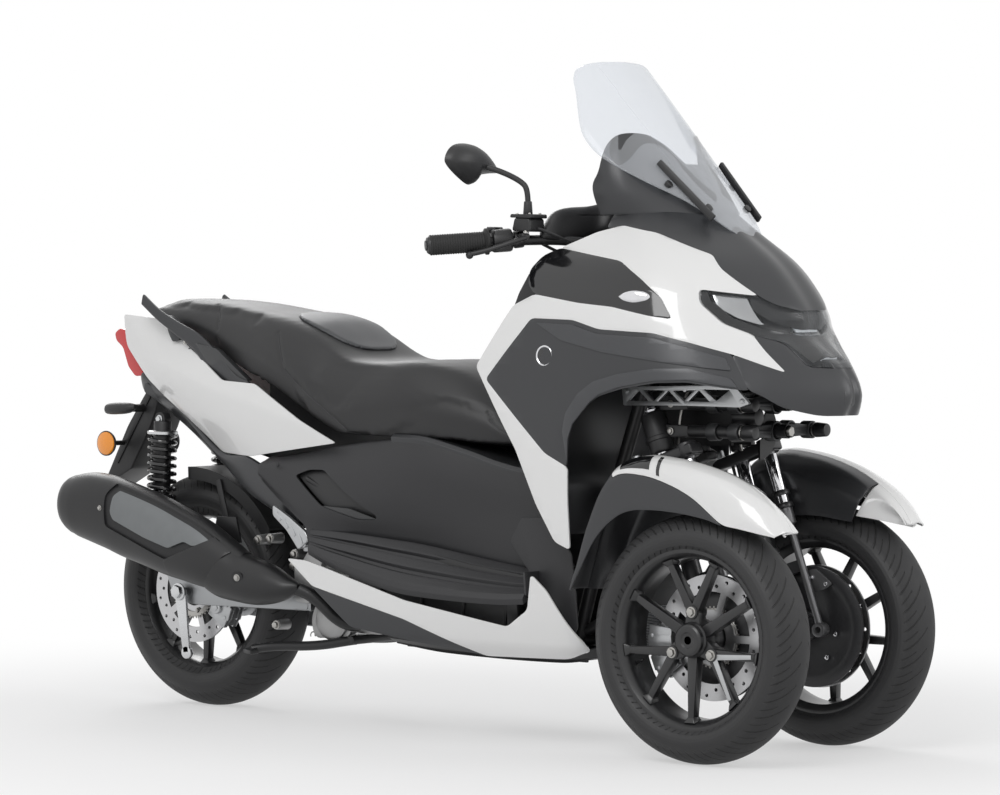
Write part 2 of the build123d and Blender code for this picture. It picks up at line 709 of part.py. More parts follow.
# x, tunnel foot y and z, waist y and z, shoulder y and z
cover_rows = [
    (-420, 190, 550, 206, 574, 178, 598),
    (-230, 224, 448, 228, 520, 180, 622),
    (-100, 196, 440, 222, 520, 180, 640),
    (60, 166, 424, 192, 530, 180, 650),
    (200, 152, 400, 156, 500, 150, 625),
    (320, 150, 385, 150, 490, 130, 600),
    (410, 150, 376, 150, 480, 120, 590),
]
with BuildPart() as covers:
    for inset in (0.0, panel_wall):
        rows = []
        for x, foot_y, foot_z, waist_y, waist_z, top_y, top_z in cover_rows:
            drop = 20 if inset > 0 else 0
            half = [(foot_y - inset, foot_z - drop), (waist_y - inset, waist_z)]
            half += [(top_y - inset, top_z - inset)]
            ring = half + [(-y, z) for y, z in reversed(half)]
            x_end = x - 1 if inset > 0 and x == cover_rows[0][0] else x
            x_end = x + 1 if inset > 0 and x == cover_rows[-1][0] else x_end
            rows.append(tuple([x_end] + [value for point in ring for value in point]))
        if inset == 0:
            add(section_loft(rows, 0))
        else:
            add(section_loft(rows, 0), mode=Mode.SUBTRACT)
    add(block(-430, -168, 560, 535, 336, 120), mode=Mode.SUBTRACT)
    for side in (1, -1):
        low, high = sorted((side * (hinge_half + 3), side * (hinge_half + 11)))
        add(side_slab([(286, 600), (306, 600), (306, 636), (296, 642), (286, 636)], 0, low, high))
    add(rod(hinge_x, -hinge_half - 14, hinge_z, hinge_pin_r, 2 * hinge_half + 28))
write(covers.part, "body_covers")

# x, then y and z of the inner and the outer edge of the tread
board_rows = [
    (-225, 222, 444, 236, 396),
    (-100, 198, 436, 249, 360),
    (60, 168, 420, 251, 320),
    (200, 154, 396, 251, 320),
    (405, 152, 372, 248, 322),
]
board_thick = 22.0
# across the tread: share of the way out, and whether a rib stands there
board_ribs = [(0.0, 0), (0.06, 1), (0.24, 1), (0.28, 0), (0.34, 0), (0.38, 1), (0.56, 1), (0.60, 0)]
board_ribs += [(0.68, 0), (0.72, 1), (0.92, 1), (1.0, 0)]
rib_high = 7.0
with BuildPart() as boards:
    for side in (1, -1):
        rows = []
        for x, in_y, in_z, out_y, out_z in board_rows:
            out_way = Vector(out_y - in_y, out_z - in_z)
            up_way = Vector(-out_way.Y, out_way.X).normalized() * rib_high
            ring = [Vector(in_y, in_z) + out_way * share + up_way * rib for share, rib in board_ribs]
            ring += [Vector(out_y, out_z - board_thick / 2), Vector(in_y, in_z - board_thick)]
            rows.append(tuple([x] + [value for point in ring for value in (side * point.X, point.Y)]))
        add(section_loft(rows, 0))
write(boards.part, "floorboards")

# --- sills: the white boomerang each side, and the pan under the floor
sill_rows = [
    (185, 540, 150, 440, 215, 0, 225),
    (230, 548, 180, 440, 240, 0, 248),
    (400, 500, 205, 430, 262, 0, 252),
]
sill_outline = [
    (-276, 381), (-218, 378), (69, 304), (361, 261), (418, 300), (432, 378), (469, 344), (534, 236),
    (542, 214), (500, 196), (286, 192), (68, 262), (-200, 322),
]
trim_outline = [(-200, 320), (-88, 236), (104, 212), (260, 196), (286, 192), (68, 262)]
sill_hull = plan_hull(sill_rows, panel_wall, 0.1, -320)
write(panel(sill_hull, [sill_outline]), "sill_fairings")
write(panel(sill_hull, [trim_outline]), "sill_trims")

with BuildPart() as pan:
    pan_rows = [
        (-60, 150, 196, 120, 176),
        (120, 190, 190, 160, 160),
        (430, 190, 190, 160, 160),
        (528, 130, 215, 100, 190),
    ]
    rows = []
    for x, top_y, top_z, low_y, low_z in pan_rows:
        ring = [(top_y, top_z), (low_y, low_z), (-low_y, low_z), (-top_y, top_z)]
        ring += [(-top_y + 4, top_z), (-low_y + 2, low_z + 4), (low_y - 2, low_z + 4), (top_y - 4, top_z)]
        rows.append(tuple([x] + [value for point in ring for value in point]))
    add(section_loft(rows, 0))
write(pan.part, "belly_pan")

# --- tail: panels, rails, lamp and plate holder
# z, then x and half width at the tail end, the hip and the side
tail_rows = [
    (560, -560, 140, -380, 196, -200, 206),
    (640, -680, 118, -500, 186, -250, 204),
    (700, -790, 100, -600, 178, -300, 200),
    (780, -900, 85, -720, 160, -400, 190),
    (860, -975, 78, -800, 130, -500, 182),
    (930, -990, 66, -860, 108, -600, 172),
]


def mirrored(rows):
    return [tuple([row[0]] + [-v if k % 2 == 0 else v for k, v in enumerate(row[1:])]) for row in rows]


# the hull is drawn pointing forward, then turned end for end
tail_front = plan_hull(mirrored(tail_rows), panel_wall, 10, -100)
tail_hull = mirror(tail_front, about=Plane.YZ)
tail_outline = [
    (-945, 926), (-803, 914), (-709, 862), (-630, 822), (-548, 776), (-446, 770), (-366, 730),
    (-287, 691), (-172, 642), (-460, 603), (-572, 609), (-700, 690), (-850, 775), (-930, 850),
]
write(panel(tail_hull, [tail_outline]), "tail_sides")

# x, then y and z of the strip's lower and upper edges
under_rows = [
    (-900, 66, 748, 76, 782),
    (-720, 106, 664, 124, 698),
    (-575, 140, 584, 152, 600),
    (-465, 168, 520, 176, 590),
    (-300, 184, 452, 190, 510),
]
with BuildPart() as under:
    for side in (1, -1):
        rows = []
        for x, low_y, low_z, top_y, top_z in under_rows:
            ring = [(low_y, low_z), (top_y, top_z), (top_y - panel_wall, top_z), (low_y - panel_wall, low_z)]
            rows.append(tuple([x] + [v for y, z in ring for v in (side * y, z)]))
        add(section_loft(rows, 0))
    add(block(-895, -78, 770, 60, 156, 6))
write(under.part, "tail_underside")

with BuildPart() as rails:
    for side in (1, -1):
        rows = []
        for x, y, z_low, z_high in [
            (-500, 160, 764, 776),
            (-594, 150, 764, 842),
            (-660, 145, 843, 886),
            (-770, 144, 908, 926),
            (-828, 140, 948, 968),
        ]:
            low_edge = (side * (y - 7), z_low, side * (y + 7), z_low)
            rows.append((x, *low_edge, side * (y + 5), z_high, side * (y - 5), z_high))
        add(section_loft(rows, 0))
write(rails.part, "grab_rails")

with BuildPart() as tail_lamp:
    lamp = [(-1010, 876), (-985, 892), (-940, 880), (-880, 776), (-945, 776)]
    add(side_slab(lamp, 4, -60, 60))
write(tail_lamp.part, "tail_lamp")

# number plate base: its rear face, heights and half width, the lip at its foot and two screw holes
plate_face = -1112.0
plate_top, plate_foot = 525.0, 405.0
plate_thick = 8.0
plate_half = 90.0
plate_lip, plate_lip_half, plate_lip_high = 15.0, 45.0, 20.0
plate_hole_z = 468.0
plate_hole_y = 70.0
plate_hole_r = 3.5
with BuildPart() as plate_holder:
    stalk = [(-900, 745), (-860, 745), (-890, 660), (-960, 556), (plate_face + plate_thick / 2, 478)]
    stalk += [(plate_face + plate_thick / 2, 510), (-1042, 536), (-975, 657), (-940, 705)]
    add(side_slab(stalk, 0, -50, 50))
    high = plate_top - plate_foot
    add(block(plate_face, -plate_half, plate_foot, plate_thick, 2 * plate_half, high))
    lip_start = plate_face - plate_lip
    add(block(lip_start, -plate_lip_half, plate_foot, plate_lip, 2 * plate_lip_half, plate_lip_high))
    for side in (1, -1):
        add(rod(-905, side * 50, 702, 7, side * 84, "Y"))
        low, high = sorted((side * 134, side * 166))
        add(side_slab([(-947, 694), (-880, 690), (-850, 704), (-865, 716), (-935, 714)], 4, low, high))
        add(rod(-985, side * 50, 617, 6, side * 56, "Y"))
        add(rod(-985, side * 106, 617, 26, side * 8, "Y"))
    for y in (-plate_hole_y, plate_hole_y):
        hole = rod(plate_face - 1, y, plate_hole_z, plate_hole_r, plate_thick + 2, "X")
        add(hole, mode=Mode.SUBTRACT)
write(plate_holder.part, "plate_holder")

# --- seat and the tub under it
# x, then half widths and heights of the skirt edge, the side and the top
seat_rows = [
    (-850, 60, 915, 75, 930, 50, 948),
    (-700, 98, 872, 110, 905, 80, 953),
    (-560, 128, 815, 138, 870, 100, 940),
    (-450, 150, 782, 160, 835, 120, 922),
    (-373, 162, 745, 172, 810, 130, 915),
    (-281, 172, 700, 180, 780, 140, 878),
    (-182, 174, 664, 180, 740, 140, 823),
    (0, 172, 660, 176, 740, 130, 827),
    (90, 160, 657, 164, 730, 115, 804),
    (200, 132, 650, 136, 700, 95, 745),
    (285, 100, 645, 104, 665, 70, 680),
]
tub_half = 132.0
with BuildPart() as seat:
    rows = []
    for x, low_y, low_z, mid_y, mid_z, top_y, top_z in seat_rows:
        side_points = [(low_y, low_z), (mid_y, mid_z), (top_y, top_z)]
        ring = side_points + [(-y, z) for y, z in reversed(side_points)]
        rows.append(tuple([x] + [value for point in ring for value in point]))
    add(section_loft(rows, 0))
    hollow = [(-470, 600), (-470, 800), (-330, 800), (-230, 760), (70, 760), (120, 700), (120, 600)]
    half = tub_half + 12
    add(side_slab(hollow, 0, -half, half), mode=Mode.SUBTRACT)
    knuckle = [(262, 646), (262, 668), (300, 643), (307, 632), (296, 621), (285, 632)]
    add(side_slab(knuckle, 0, -hinge_half, hinge_half))
    add(rod(hinge_x, -hinge_half, hinge_z, hinge_pin_r + pin_clearance, 2 * hinge_half), mode=Mode.SUBTRACT)
write(seat.part, "seat")

with BuildPart() as tub:
    outer = [(-440, 785), (-440, 560), (-380, 470), (60, 470)]
    outer += [(90, 640), (90, 715), (-230, 735), (-330, 785)]
    inner = [(-435, 795), (-435, 562), (-378, 475), (56, 475), (85, 640), (85, 795)]
    add(side_slab(outer, 0, -tub_half, tub_half))
    add(side_slab(inner, 0, -tub_half + 5, tub_half - 5), mode=Mode.SUBTRACT)
write(tub.part, "storage_tub")

# --- frame tubes
frame_r = 15.0
with BuildPart() as frame:
    for side in (1, -1):
        low_run = [(590, side * 58, 800), (500, side * 70, 520), (440, side * 108, 215)]
        low_run += [(-40, side * 120, 215), (-130, side * 149, 420), (-440, side * 149, 545)]
        low_run += [(-600, side * 118, 612), (-860, side * 48, 740)]
        add(tube_run(low_run, 36, frame_r))
        add(rod(-545, side * 142, 590, 8, 174, "Z"))
        low, high = sorted((side * 40, side * 58))
        add(rod(596, low, 780, 12, high - low, "Y"))
    for x, z, half_y in ((380, 215, 112), (0, 215, 120), (500, 520, 70)):
        add(rod(x, -half_y, z, 12, 2 * half_y, "Y"))
write(frame.part, "frame")

lattice_y = 150.0
lattice_z = arm_heights[1] - 6
# x, then heights above the lower chord
lattice_chord = [(600, 0), (600, 42), (890, 48), (930, 10), (905, 2), (760, 3)]
lattice_holes = [
    [(612, 10), (640, 34), (668, 10)],
    [(652, 34), (680, 10), (708, 34)],
    [(692, 10), (720, 34), (748, 10)],
    [(732, 34), (760, 12), (788, 36)],
    [(772, 12), (800, 36), (828, 12)],
    [(812, 38), (845, 14), (880, 38)],
]
with BuildPart() as lattice:
    for side in (1, -1):
        low, high = sorted((side * lattice_y, side * (lattice_y + 8)))
        add(side_slab([(x, lattice_z + z) for x, z in lattice_chord], 0, low, high))
        for hole in lattice_holes:
            add(side_slab([(x, lattice_z + z) for x, z in hole], 0, low - 1, high + 1), mode=Mode.SUBTRACT)
        low, high = sorted((side * 40, side * lattice_y))
        add(rod(756, low, lattice_z + 36, 5, high - low, "Y"))
write(lattice.part, "lattice_bracket")

with BuildPart() as front_shield:
    face = [(560, 205), (570, 205), (566, 300), (550, 340), (540, 420), (552, 560), (542, 560), (528, 420)]
    add(side_slab(face, 0, -100, 100))
write(front_shield.part, "radiator_shield")

# --- engine, swinging drive case, exhaust and rear brake
with BuildPart() as engine:
    add(block(-330, -100, 200, 250, 190, 180, 20))
    add(block(-100, -70, 240, 110, 140, 120, 12))
write(engine.part, "engine")

with BuildPart() as swing:
    case = [(-300, 215), (-240, 300), (-300, 390), (-560, 400)]
    case += [(-822, 400), (-800, 276), (-760, 212), (-500, 190)]
    add(side_slab(case, 14, 92, 160))
    arm = [(-340, 250), (-340, 300), (-690, 310), (-790, 400), (-822, 400), (-764, 262), (-700, 246)]
    add(side_slab(arm, 0, -112, -96))
    add(rod(rear_axle_x, -118, rear_tyre_r, axle_r, 212, "Y"))
    add(block(-340, -112, 250, 9, 206, 50))
write(swing.part, "swing_unit")

with BuildPart() as hugger:
    guard = Plane(origin=(rear_axle_x, 0, rear_tyre_r), x_dir=(0, 1, 0), z_dir=(1, 0, 0))
    with BuildSketch(guard):
        low, top = rear_tyre_r - 14, rear_tyre_r + 12
        inside = [(-82, low), (-82, top), (82, top), (92, low)]
        Polygon(*inside, (96, low), (85, top + 4), (-85, top + 4), (-86, low), align=None)
    revolve(axis=Axis((rear_axle_x, 0, rear_tyre_r), (0, 1, 0)))
    wedge = [(-730, 276), (-500, 330), (-500, 640), (-765, 640)]
    add(side_slab(wedge, 0, -200, 200), mode=Mode.INTERSECT)
write(hugger.part, "rear_hugger")

muffler_y = -208.0
muffler_wall = 3.0
outlet_r = 18.0
# x, middle height, half width and half height of the oval
can_rows = [
    (-600, 388, 62, 82),
    (-700, 413, 64, 89),
    (-830, 449, 64, 90),
    (-924, 470, 63, 82),
    (-981, 475, 59, 69),
    (-1012, 477, 36, 44),
]
cover_ovals = [
    (-600, 388, 60, 80),
    (-519, 356, 58, 77),
    (-453, 328, 52, 58),
    (-367, 315, 42, 44),
    (-309, 310, 24, 21),
    (-285, 314, 8, 8),
]
header = [(-200, -101, 225), (-200, -150, 225), (-260, muffler_y + 20, 300), (-330, muffler_y, 318)]


def oval_loft(rows, y, inset=0.0):
    with BuildPart(mode=Mode.PRIVATE) as body:
        for k, (x, z, half_y, half_z) in enumerate(rows):
            end = inset if k == 0 else -inset if k == len(rows) - 1 else 0
            with BuildSketch(Plane(origin=(x - end, y, z), x_dir=(0, 1, 0), z_dir=(1, 0, 0))):
                Ellipse(half_y - inset, half_z - inset)
        loft(ruled=True)
    return body.part


# a hollow can with its outlet at the back
with BuildPart() as exhaust:
    add(oval_loft(can_rows, muffler_y))
    add(oval_loft(can_rows, muffler_y, muffler_wall), mode=Mode.SUBTRACT)
    last_x, last_z = can_rows[-1][:2]
    add(rod(last_x - 1, muffler_y, last_z, outlet_r, 2 * muffler_wall, "X"), mode=Mode.SUBTRACT)
write(exhaust.part, "exhaust")

with BuildPart() as guard:
    add(oval_loft(cover_ovals, muffler_y))
    add(tube_run(header, 24, 15))
write(guard.part, "exhaust_guard")

shock_y = 110.0
with BuildPart() as shocks:
    for side in (1, -1):
        top = Vector(-800, side * shock_y, 676)
        low = Vector(-806, side * shock_y, 402)
        direction = low - top
        with BuildSketch(Plane(origin=top, z_dir=direction)):
            Circle(12)
        extrude(amount=direction.length)
        with BuildSketch(Plane(origin=top + direction * 0.12, z_dir=direction)):
            Circle(29)
        extrude(amount=direction.length * 0.6)
write(shocks.part, "rear_shocks")

with BuildPart() as rear_caliper:
    outer_face = Plane(
        origin=(rear_axle_x, -rear_disc_y - 22, rear_tyre_r), x_dir=(1, 0, 0), z_dir=(0, 1, 0)
    )
    with BuildSketch(outer_face):
        with BuildLine():
            outer_arc = CenterArc((0, 0), 150, -35, 45)
            inner_arc = CenterArc((0, 0), 90, -35, 45)
            Line(outer_arc @ 0, inner_arc @ 0)
            Line(outer_arc @ 1, inner_arc @ 1)
        make_face()
    extrude(amount=38)
    with BuildSketch(outer_face.offset(18)):
        Circle(rear_disc_r + 4)
    extrude(amount=8, mode=Mode.SUBTRACT)
write(rear_caliper.part, "caliper_rear")

# --- stands
stand_pivot = (-205.0, 196.0)
with BuildPart() as stand:
    for side in (1, -1):
        leg = [(-205, side * 112, 190), (-300, side * 130, 172)]
        leg += [(-423, side * 150, 168), (-455, side * 175, 160)]
        add(tube_run(leg, 20, 11))
    add(rod(stand_pivot[0], -118, stand_pivot[1] - 6, 10, 236, "Y"))
write(stand.part, "centre_stand")
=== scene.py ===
import bpy
import json
import math
from mathutils import Matrix, Vector, bvhtree, kdtree


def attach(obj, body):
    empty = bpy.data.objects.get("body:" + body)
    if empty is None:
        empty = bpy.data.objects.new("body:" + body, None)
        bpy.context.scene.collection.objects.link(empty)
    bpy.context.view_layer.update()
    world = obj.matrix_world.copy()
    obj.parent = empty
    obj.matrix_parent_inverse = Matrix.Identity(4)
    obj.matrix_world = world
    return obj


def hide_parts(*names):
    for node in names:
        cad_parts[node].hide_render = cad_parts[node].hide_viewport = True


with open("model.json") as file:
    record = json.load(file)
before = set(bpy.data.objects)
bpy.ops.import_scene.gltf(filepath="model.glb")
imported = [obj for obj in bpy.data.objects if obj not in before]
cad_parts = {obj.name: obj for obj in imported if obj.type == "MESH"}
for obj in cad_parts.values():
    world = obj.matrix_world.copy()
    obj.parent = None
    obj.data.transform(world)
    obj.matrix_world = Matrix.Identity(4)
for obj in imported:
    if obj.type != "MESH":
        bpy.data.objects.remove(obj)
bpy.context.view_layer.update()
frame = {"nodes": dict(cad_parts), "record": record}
mm = 0.001


# small helpers, all in millimetres until the mesh is written
def clean():
    if bpy.context.mode != "OBJECT":
        bpy.ops.object.mode_set(mode="OBJECT")
    bpy.ops.object.select_all(action="DESELECT")


def only(obj):
    clean()
    obj.select_set(True)
    bpy.context.view_layer.objects.active = obj


def edit(obj):
    only(obj)
    bpy.ops.object.mode_set(mode="EDIT")
    bpy.ops.mesh.select_all(action="SELECT")


def outward(obj):
    edit(obj)
    bpy.ops.mesh.remove_doubles(threshold=0.00002)
    bpy.ops.mesh.normals_make_consistent(inside=False)
    clean()
    return obj


def modify(obj, kind, **settings):
    mod = obj.modifiers.new(kind, kind)
    for key, value in settings.items():
        setattr(mod, key, value)
    only(obj)
    bpy.ops.object.modifier_apply(modifier=mod.name)
    return obj


def soften(obj, width=1.0, segments=2, angle=38):
    return modify(obj, "BEVEL", width=width * mm, segments=segments, limit_method="ANGLE",
                  angle_limit=math.radians(angle), use_clamp_overlap=True)


def shade(obj, angle=35):
    only(obj)
    bpy.ops.object.shade_smooth_by_angle(angle=math.radians(angle))
    clean()
    return obj


def loopOf(name, points, place, filled=True):
    # a circle with one vertex per outline point, each vertex then moved to its point
    clean()
    bpy.ops.mesh.primitive_circle_add(vertices=len(points), fill_type="NGON" if filled else "NOTHING")
    obj = bpy.context.object
    obj.name = name
    for vertex, point in zip(obj.data.vertices, points):
        vertex.co = place(*point)
    return obj


def push(obj, move):
    # extrudes the one face of an outline into a closed solid
    edit(obj)
    bpy.ops.mesh.extrude_region_move(TRANSFORM_OT_translate={"value": move})
    return outward(obj)


def roundCorners(obj, radius, segments=4):
    edit(obj)
    bpy.ops.mesh.bevel(offset=radius * mm, offset_type="OFFSET", segments=segments, affect="VERTICES")
    bpy.ops.mesh.remove_doubles(threshold=0.0002)
    clean()
    return obj


def slab(name, points, yFrom, yTo, corner=0, edge=0, segments=2):
    # side outline of (x, z) points, as thick as the gap between two Y places
    obj = loopOf(name, points, lambda x, z: Vector((x, yFrom, z)) * mm)
    if corner:
        roundCorners(obj, corner)
    push(obj, (0, (yTo - yFrom) * mm, 0))
    if edge:
        soften(obj, edge, segments)
    return shade(obj)


def lathe(name, profile, centre, axis=(0, 1, 0), up=(0, 0, 1), steps=96, angle=360, edge=0):
    # closed profile of (along the axis, radius) turned about the axis
    mid, line, side = Vector(centre) * mm, Vector(axis), Vector(up)
    obj = loopOf(name, profile, lambda a, r: mid + line * a * mm + side * r * mm, filled=False)
    edit(obj)
    bpy.ops.mesh.spin(steps=steps, angle=math.radians(angle), center=mid, axis=line)
    bpy.ops.mesh.remove_doubles(threshold=0.00002)
    bpy.ops.mesh.dissolve_degenerate(threshold=0.00001)
    clean()
    outward(obj)
    if edge:
        soften(obj, edge)
    return shade(obj)


def tube(name, points, radius, order=3, cyclic=False, sides=6):
    # round bar along a smooth line that its points steer
    curve = bpy.data.curves.new(name, "CURVE")
    curve.dimensions = "3D"
    curve.bevel_depth = radius * mm
    curve.bevel_resolution = sides
    curve.resolution_u = 12
    curve.use_fill_caps = True
    spline = curve.splines.new("NURBS")
    spline.points.add(len(points) - 1)
    for dot, point in zip(spline.points, points):
        dot.co = (*(Vector(point) * mm), 1)
    spline.order_u = min(order, len(points))
    spline.use_endpoint_u = not cyclic
    spline.use_cyclic_u = cyclic
    obj = bpy.data.objects.new(name, curve)
    bpy.context.scene.collection.objects.link(obj)
    only(obj)
    bpy.ops.object.convert(target="MESH")
    obj = bpy.context.object
    return shade(outward(obj))


def bar(name, start, end, radius, tip=None, sides=24, edge=0.6):
    # straight round bar between two points, tapering to tip if given
    a, b = Vector(start), Vector(end)
    line = (b - a).normalized()
    side = line.orthogonal().normalized()
    length = (b - a).length
    profile = [(0, 0), (0, radius), (length, radius if tip is None else tip), (length, 0)]
    return lathe(name, profile, a, line, side, steps=sides, edge=edge)


def blockOf(name, low, high, edge=2, segments=2):
    x0, y0, z0 = low
    x1, y1, z1 = high
    return slab(name, [(x0, z0), (x1, z0), (x1, z1), (x0, z1)], y0, y1, 0, edge, segments)


def flank(name, points, side, near, far, corner=0, edge=0, segments=2):
    # slab on one side of the vehicle, between two distances from its middle plane
    low, high = sorted((side * near, side * far))
    return slab(name, points, low, high, corner, edge, segments)


def thickened(sheet, wall, facing, even=True):
    # turns the sheet's outside to a direction, then gives it a wall inward
    faces = sheet.data.polygons
    if faces[len(faces) // 2].normal.dot(Vector(facing)) < 0:
        sheet.data.flip_normals()
    return modify(sheet, "SOLIDIFY", thickness=wall * mm, offset=-1, use_even_offset=even)


def twin(obj, name=None):
    other = obj.copy()
    other.data = obj.data.copy()
    other.name = name or obj.name
    bpy.context.scene.collection.objects.link(other)
    return other


def moved(obj, matrix):
    obj.data.transform(matrix)
    if matrix.determinant() < 0:
        obj.data.flip_normals()
    return obj


def turned(obj, degrees, centre, axis="Y"):
    mid = Matrix.Translation(Vector(centre) * mm)
    return moved(obj, mid @ Matrix.Rotation(math.radians(degrees), 4, axis) @ mid.inverted())


def around(obj, count, centre, axis="Y", start=0):
    # copies of a piece round a wheel, joined into one
    parts = [turned(twin(obj), start + 360 * k / count, centre, axis) for k in range(count)]
    bpy.data.objects.remove(obj)
    return join(parts, parts[0].name)


def join(parts, name):
    clean()
    parts = [part for part in parts if part]
    for part in parts:
        part.select_set(True)
    bpy.context.view_layer.objects.active = parts[0]
    if len(parts) > 1:
        bpy.ops.object.join()
    obj = bpy.context.object
    obj.name = name
    clean()
    return obj


def cut(obj, tool, keep=False, how="DIFFERENCE"):
    modify(obj, "BOOLEAN", operation=how, object=tool, solver="EXACT")
    if not keep:
        bpy.data.objects.remove(tool)
    return obj


def done(obj, body, slotName, material, *nodes):
    # gives a finished piece its finish, its body and the nodes that it stands for
    obj.data.materials.clear()
    obj.data.materials.append(material)
    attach(obj, body)
    if nodes:
        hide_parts(*nodes)
    return obj


# shader maths: sockets that add, multiply and compare
class Wire:
    def __init__(self, make, socket):
        self.make, self.socket = make, socket

    def maths(self, operation, other=None, third=None):
        values = {k: v for k, v in ((0, self), (1, other), (2, third)) if v is not None}
        return self.make.node("ShaderNodeMath", {"operation": operation}, values)

    def __add__(self, other): return self.maths("ADD", other)
    __radd__ = __add__
    def __mul__(self, other): return self.maths("MULTIPLY", other)
    __rmul__ = __mul__
    def __sub__(self, other): return self.maths("SUBTRACT", other)
    def __rsub__(self, other): return (self * -1) + other
    def __truediv__(self, other): return self.maths("DIVIDE", other)
    def __gt__(self, other): return self.maths("GREATER_THAN", other)
    def __lt__(self, other): return self.maths("LESS_THAN", other)
    def between(self, low, high): return self.make.node("ShaderNodeMapRange",
            {"interpolation_type": "SMOOTHSTEP"}, {0: self, 1: low, 2: high})


class Finish:
    def __init__(self, name, color, rough, metal=0.0, **fixed):
        self.material = bpy.data.materials.new(name)
        self.material.use_nodes = True
        self.tree = self.material.node_tree
        self.shader = self.tree.nodes["Principled BSDF"]
        self.put("Base Color", color)
        self.put("Roughness", rough)
        self.put("Metallic", metal)
        for key, value in fixed.items():
            self.put(key.replace("_", " "), value)
        self.place = self.node("ShaderNodeTexCoord", {}, {}, "Object")
        self.material.diffuse_color = (*color[:3], 1)

    def put(self, name, value, node=None):
        socket = (node or self.shader).inputs[name]
        if isinstance(value, Wire):
            self.tree.links.new(value.socket, socket)
        elif isinstance(value, (tuple, list)) and len(value) == 3 and len(socket.default_value) == 4:
            socket.default_value = (*value, 1)
        else:
            socket.default_value = value

    def node(self, kind, settings, values, output=0):
        made = self.tree.nodes.new(kind)
        for key, value in settings.items():
            setattr(made, key, value)
        for key, value in values.items():
            self.put(key, value, made)
        return Wire(self, made.outputs[output])

    def noise(self, scale, detail=3.0, place=None):
        return self.node("ShaderNodeTexNoise", {},
            {"Vector": place or self.place, "Scale": scale, "Detail": detail})

    def cells(self, scale, place=None, feature="F1"):
        return self.node("ShaderNodeTexVoronoi", {"feature": feature},
            {"Vector": place or self.place, "Scale": scale})

    def mix(self, factor, first, second):
        made = self.tree.nodes.new("ShaderNodeMix")
        made.data_type = "RGBA"
        for index, value in ((0, factor), (6, first), (7, second)):
            self.put(index, value, made)
        return Wire(self, made.outputs[2])

    def bump(self, height, strength, distance):
        self.put("Normal", self.node("ShaderNodeBump", {},
            {"Strength": strength, "Distance": distance * mm, "Height": height}))
        return self

    def axes(self, centre=(0, 0, 0)):
        place = self.node("ShaderNodeVectorMath", {"operation": "SUBTRACT"},
            {0: self.place, 1: tuple(Vector(centre) * mm)})
        made = self.tree.nodes.new("ShaderNodeSeparateXYZ")
        self.put(0, place, made)
        return [Wire(self, made.outputs[k]) for k in range(3)]


def plastic(name, color, rough, grain=(900, 0.25, 0.05), cloud=0.12, **fixed):
    # moulded plastic: fine grain, faint clouding of colour and gloss
    made = Finish(name, color, rough, **fixed)
    cloudy = made.noise(7, 4)
    made.put("Base Color", made.mix(cloudy, [c * (1 - cloud) for c in color],
        [min(1, c * (1 + cloud)) for c in color]))
    made.put("Roughness", rough + (cloudy - 0.5) * 0.10)
    made.bump(made.noise(grain[0], 2), grain[1], grain[2])
    return made.material


def metalOf(name, color, rough, grain=(300, 0.2, 0.05), metal=1.0, **fixed):
    made = Finish(name, color, rough, metal, **fixed)
    spots = made.noise(38, 5)
    made.put("Base Color", made.mix(spots, [c * 0.82 for c in color], color))
    made.put("Roughness", rough + (spots - 0.5) * 0.22)
    made.bump(made.noise(grain[0], 3), grain[1], grain[2])
    return made.material


def pearlPaint():
    # white base, fine mica and a clear coat
    made = Finish("pearlWhite", (0.80, 0.80, 0.795), 0.34, Coat_Weight=1.0, Coat_Roughness=0.04)
    mica = made.cells(4200)
    fleck = mica < 0.22
    made.put("Base Color", made.mix(fleck * 0.35, (0.80, 0.80, 0.795), (0.90, 0.90, 0.93)))
    made.put("Roughness", 0.36 - fleck * 0.10)
    return made.bump(made.noise(160, 1), 0.03, 0.05).material


def satinPaint(name="darkSatin", lift=1.0):
    # dark metallic grey: the flakes catch the light under a half gloss
    # lift above 1 makes a lighter copy of this paint, used as painted highlight on raised bands
    base, fleck = [[c * lift for c in color] for color in ((0.036, 0.037, 0.040), (0.085, 0.088, 0.094))]
    made = Finish(name, base, 0.38, 0.25, Coat_Weight=0.25, Coat_Roughness=0.28)
    flake = made.cells(5200) < 0.2
    made.put("Base Color", made.mix(flake * 0.6, base, fleck))
    made.put("Roughness", 0.40 - flake * 0.12)
    return made.bump(made.noise(700, 2), 0.06, 0.04).material


def grainedPlastic(name, color, rough, size=420):
    # leather-like mould grain, as on the lower side panels
    made = Finish(name, color, rough)
    pebble = made.node("ShaderNodeTexVoronoi", {"feature": "DISTANCE_TO_EDGE"},
        {"Vector": made.place, "Scale": size})
    soft = made.noise(6, 4)
    made.put("Base Color", made.mix(soft, [c * 0.85 for c in color], [c * 1.18 for c in color]))
    made.put("Roughness", rough + (soft - 0.5) * 0.1)
    return made.bump(pebble.between(0.0, 0.16), 0.28, 0.12).material


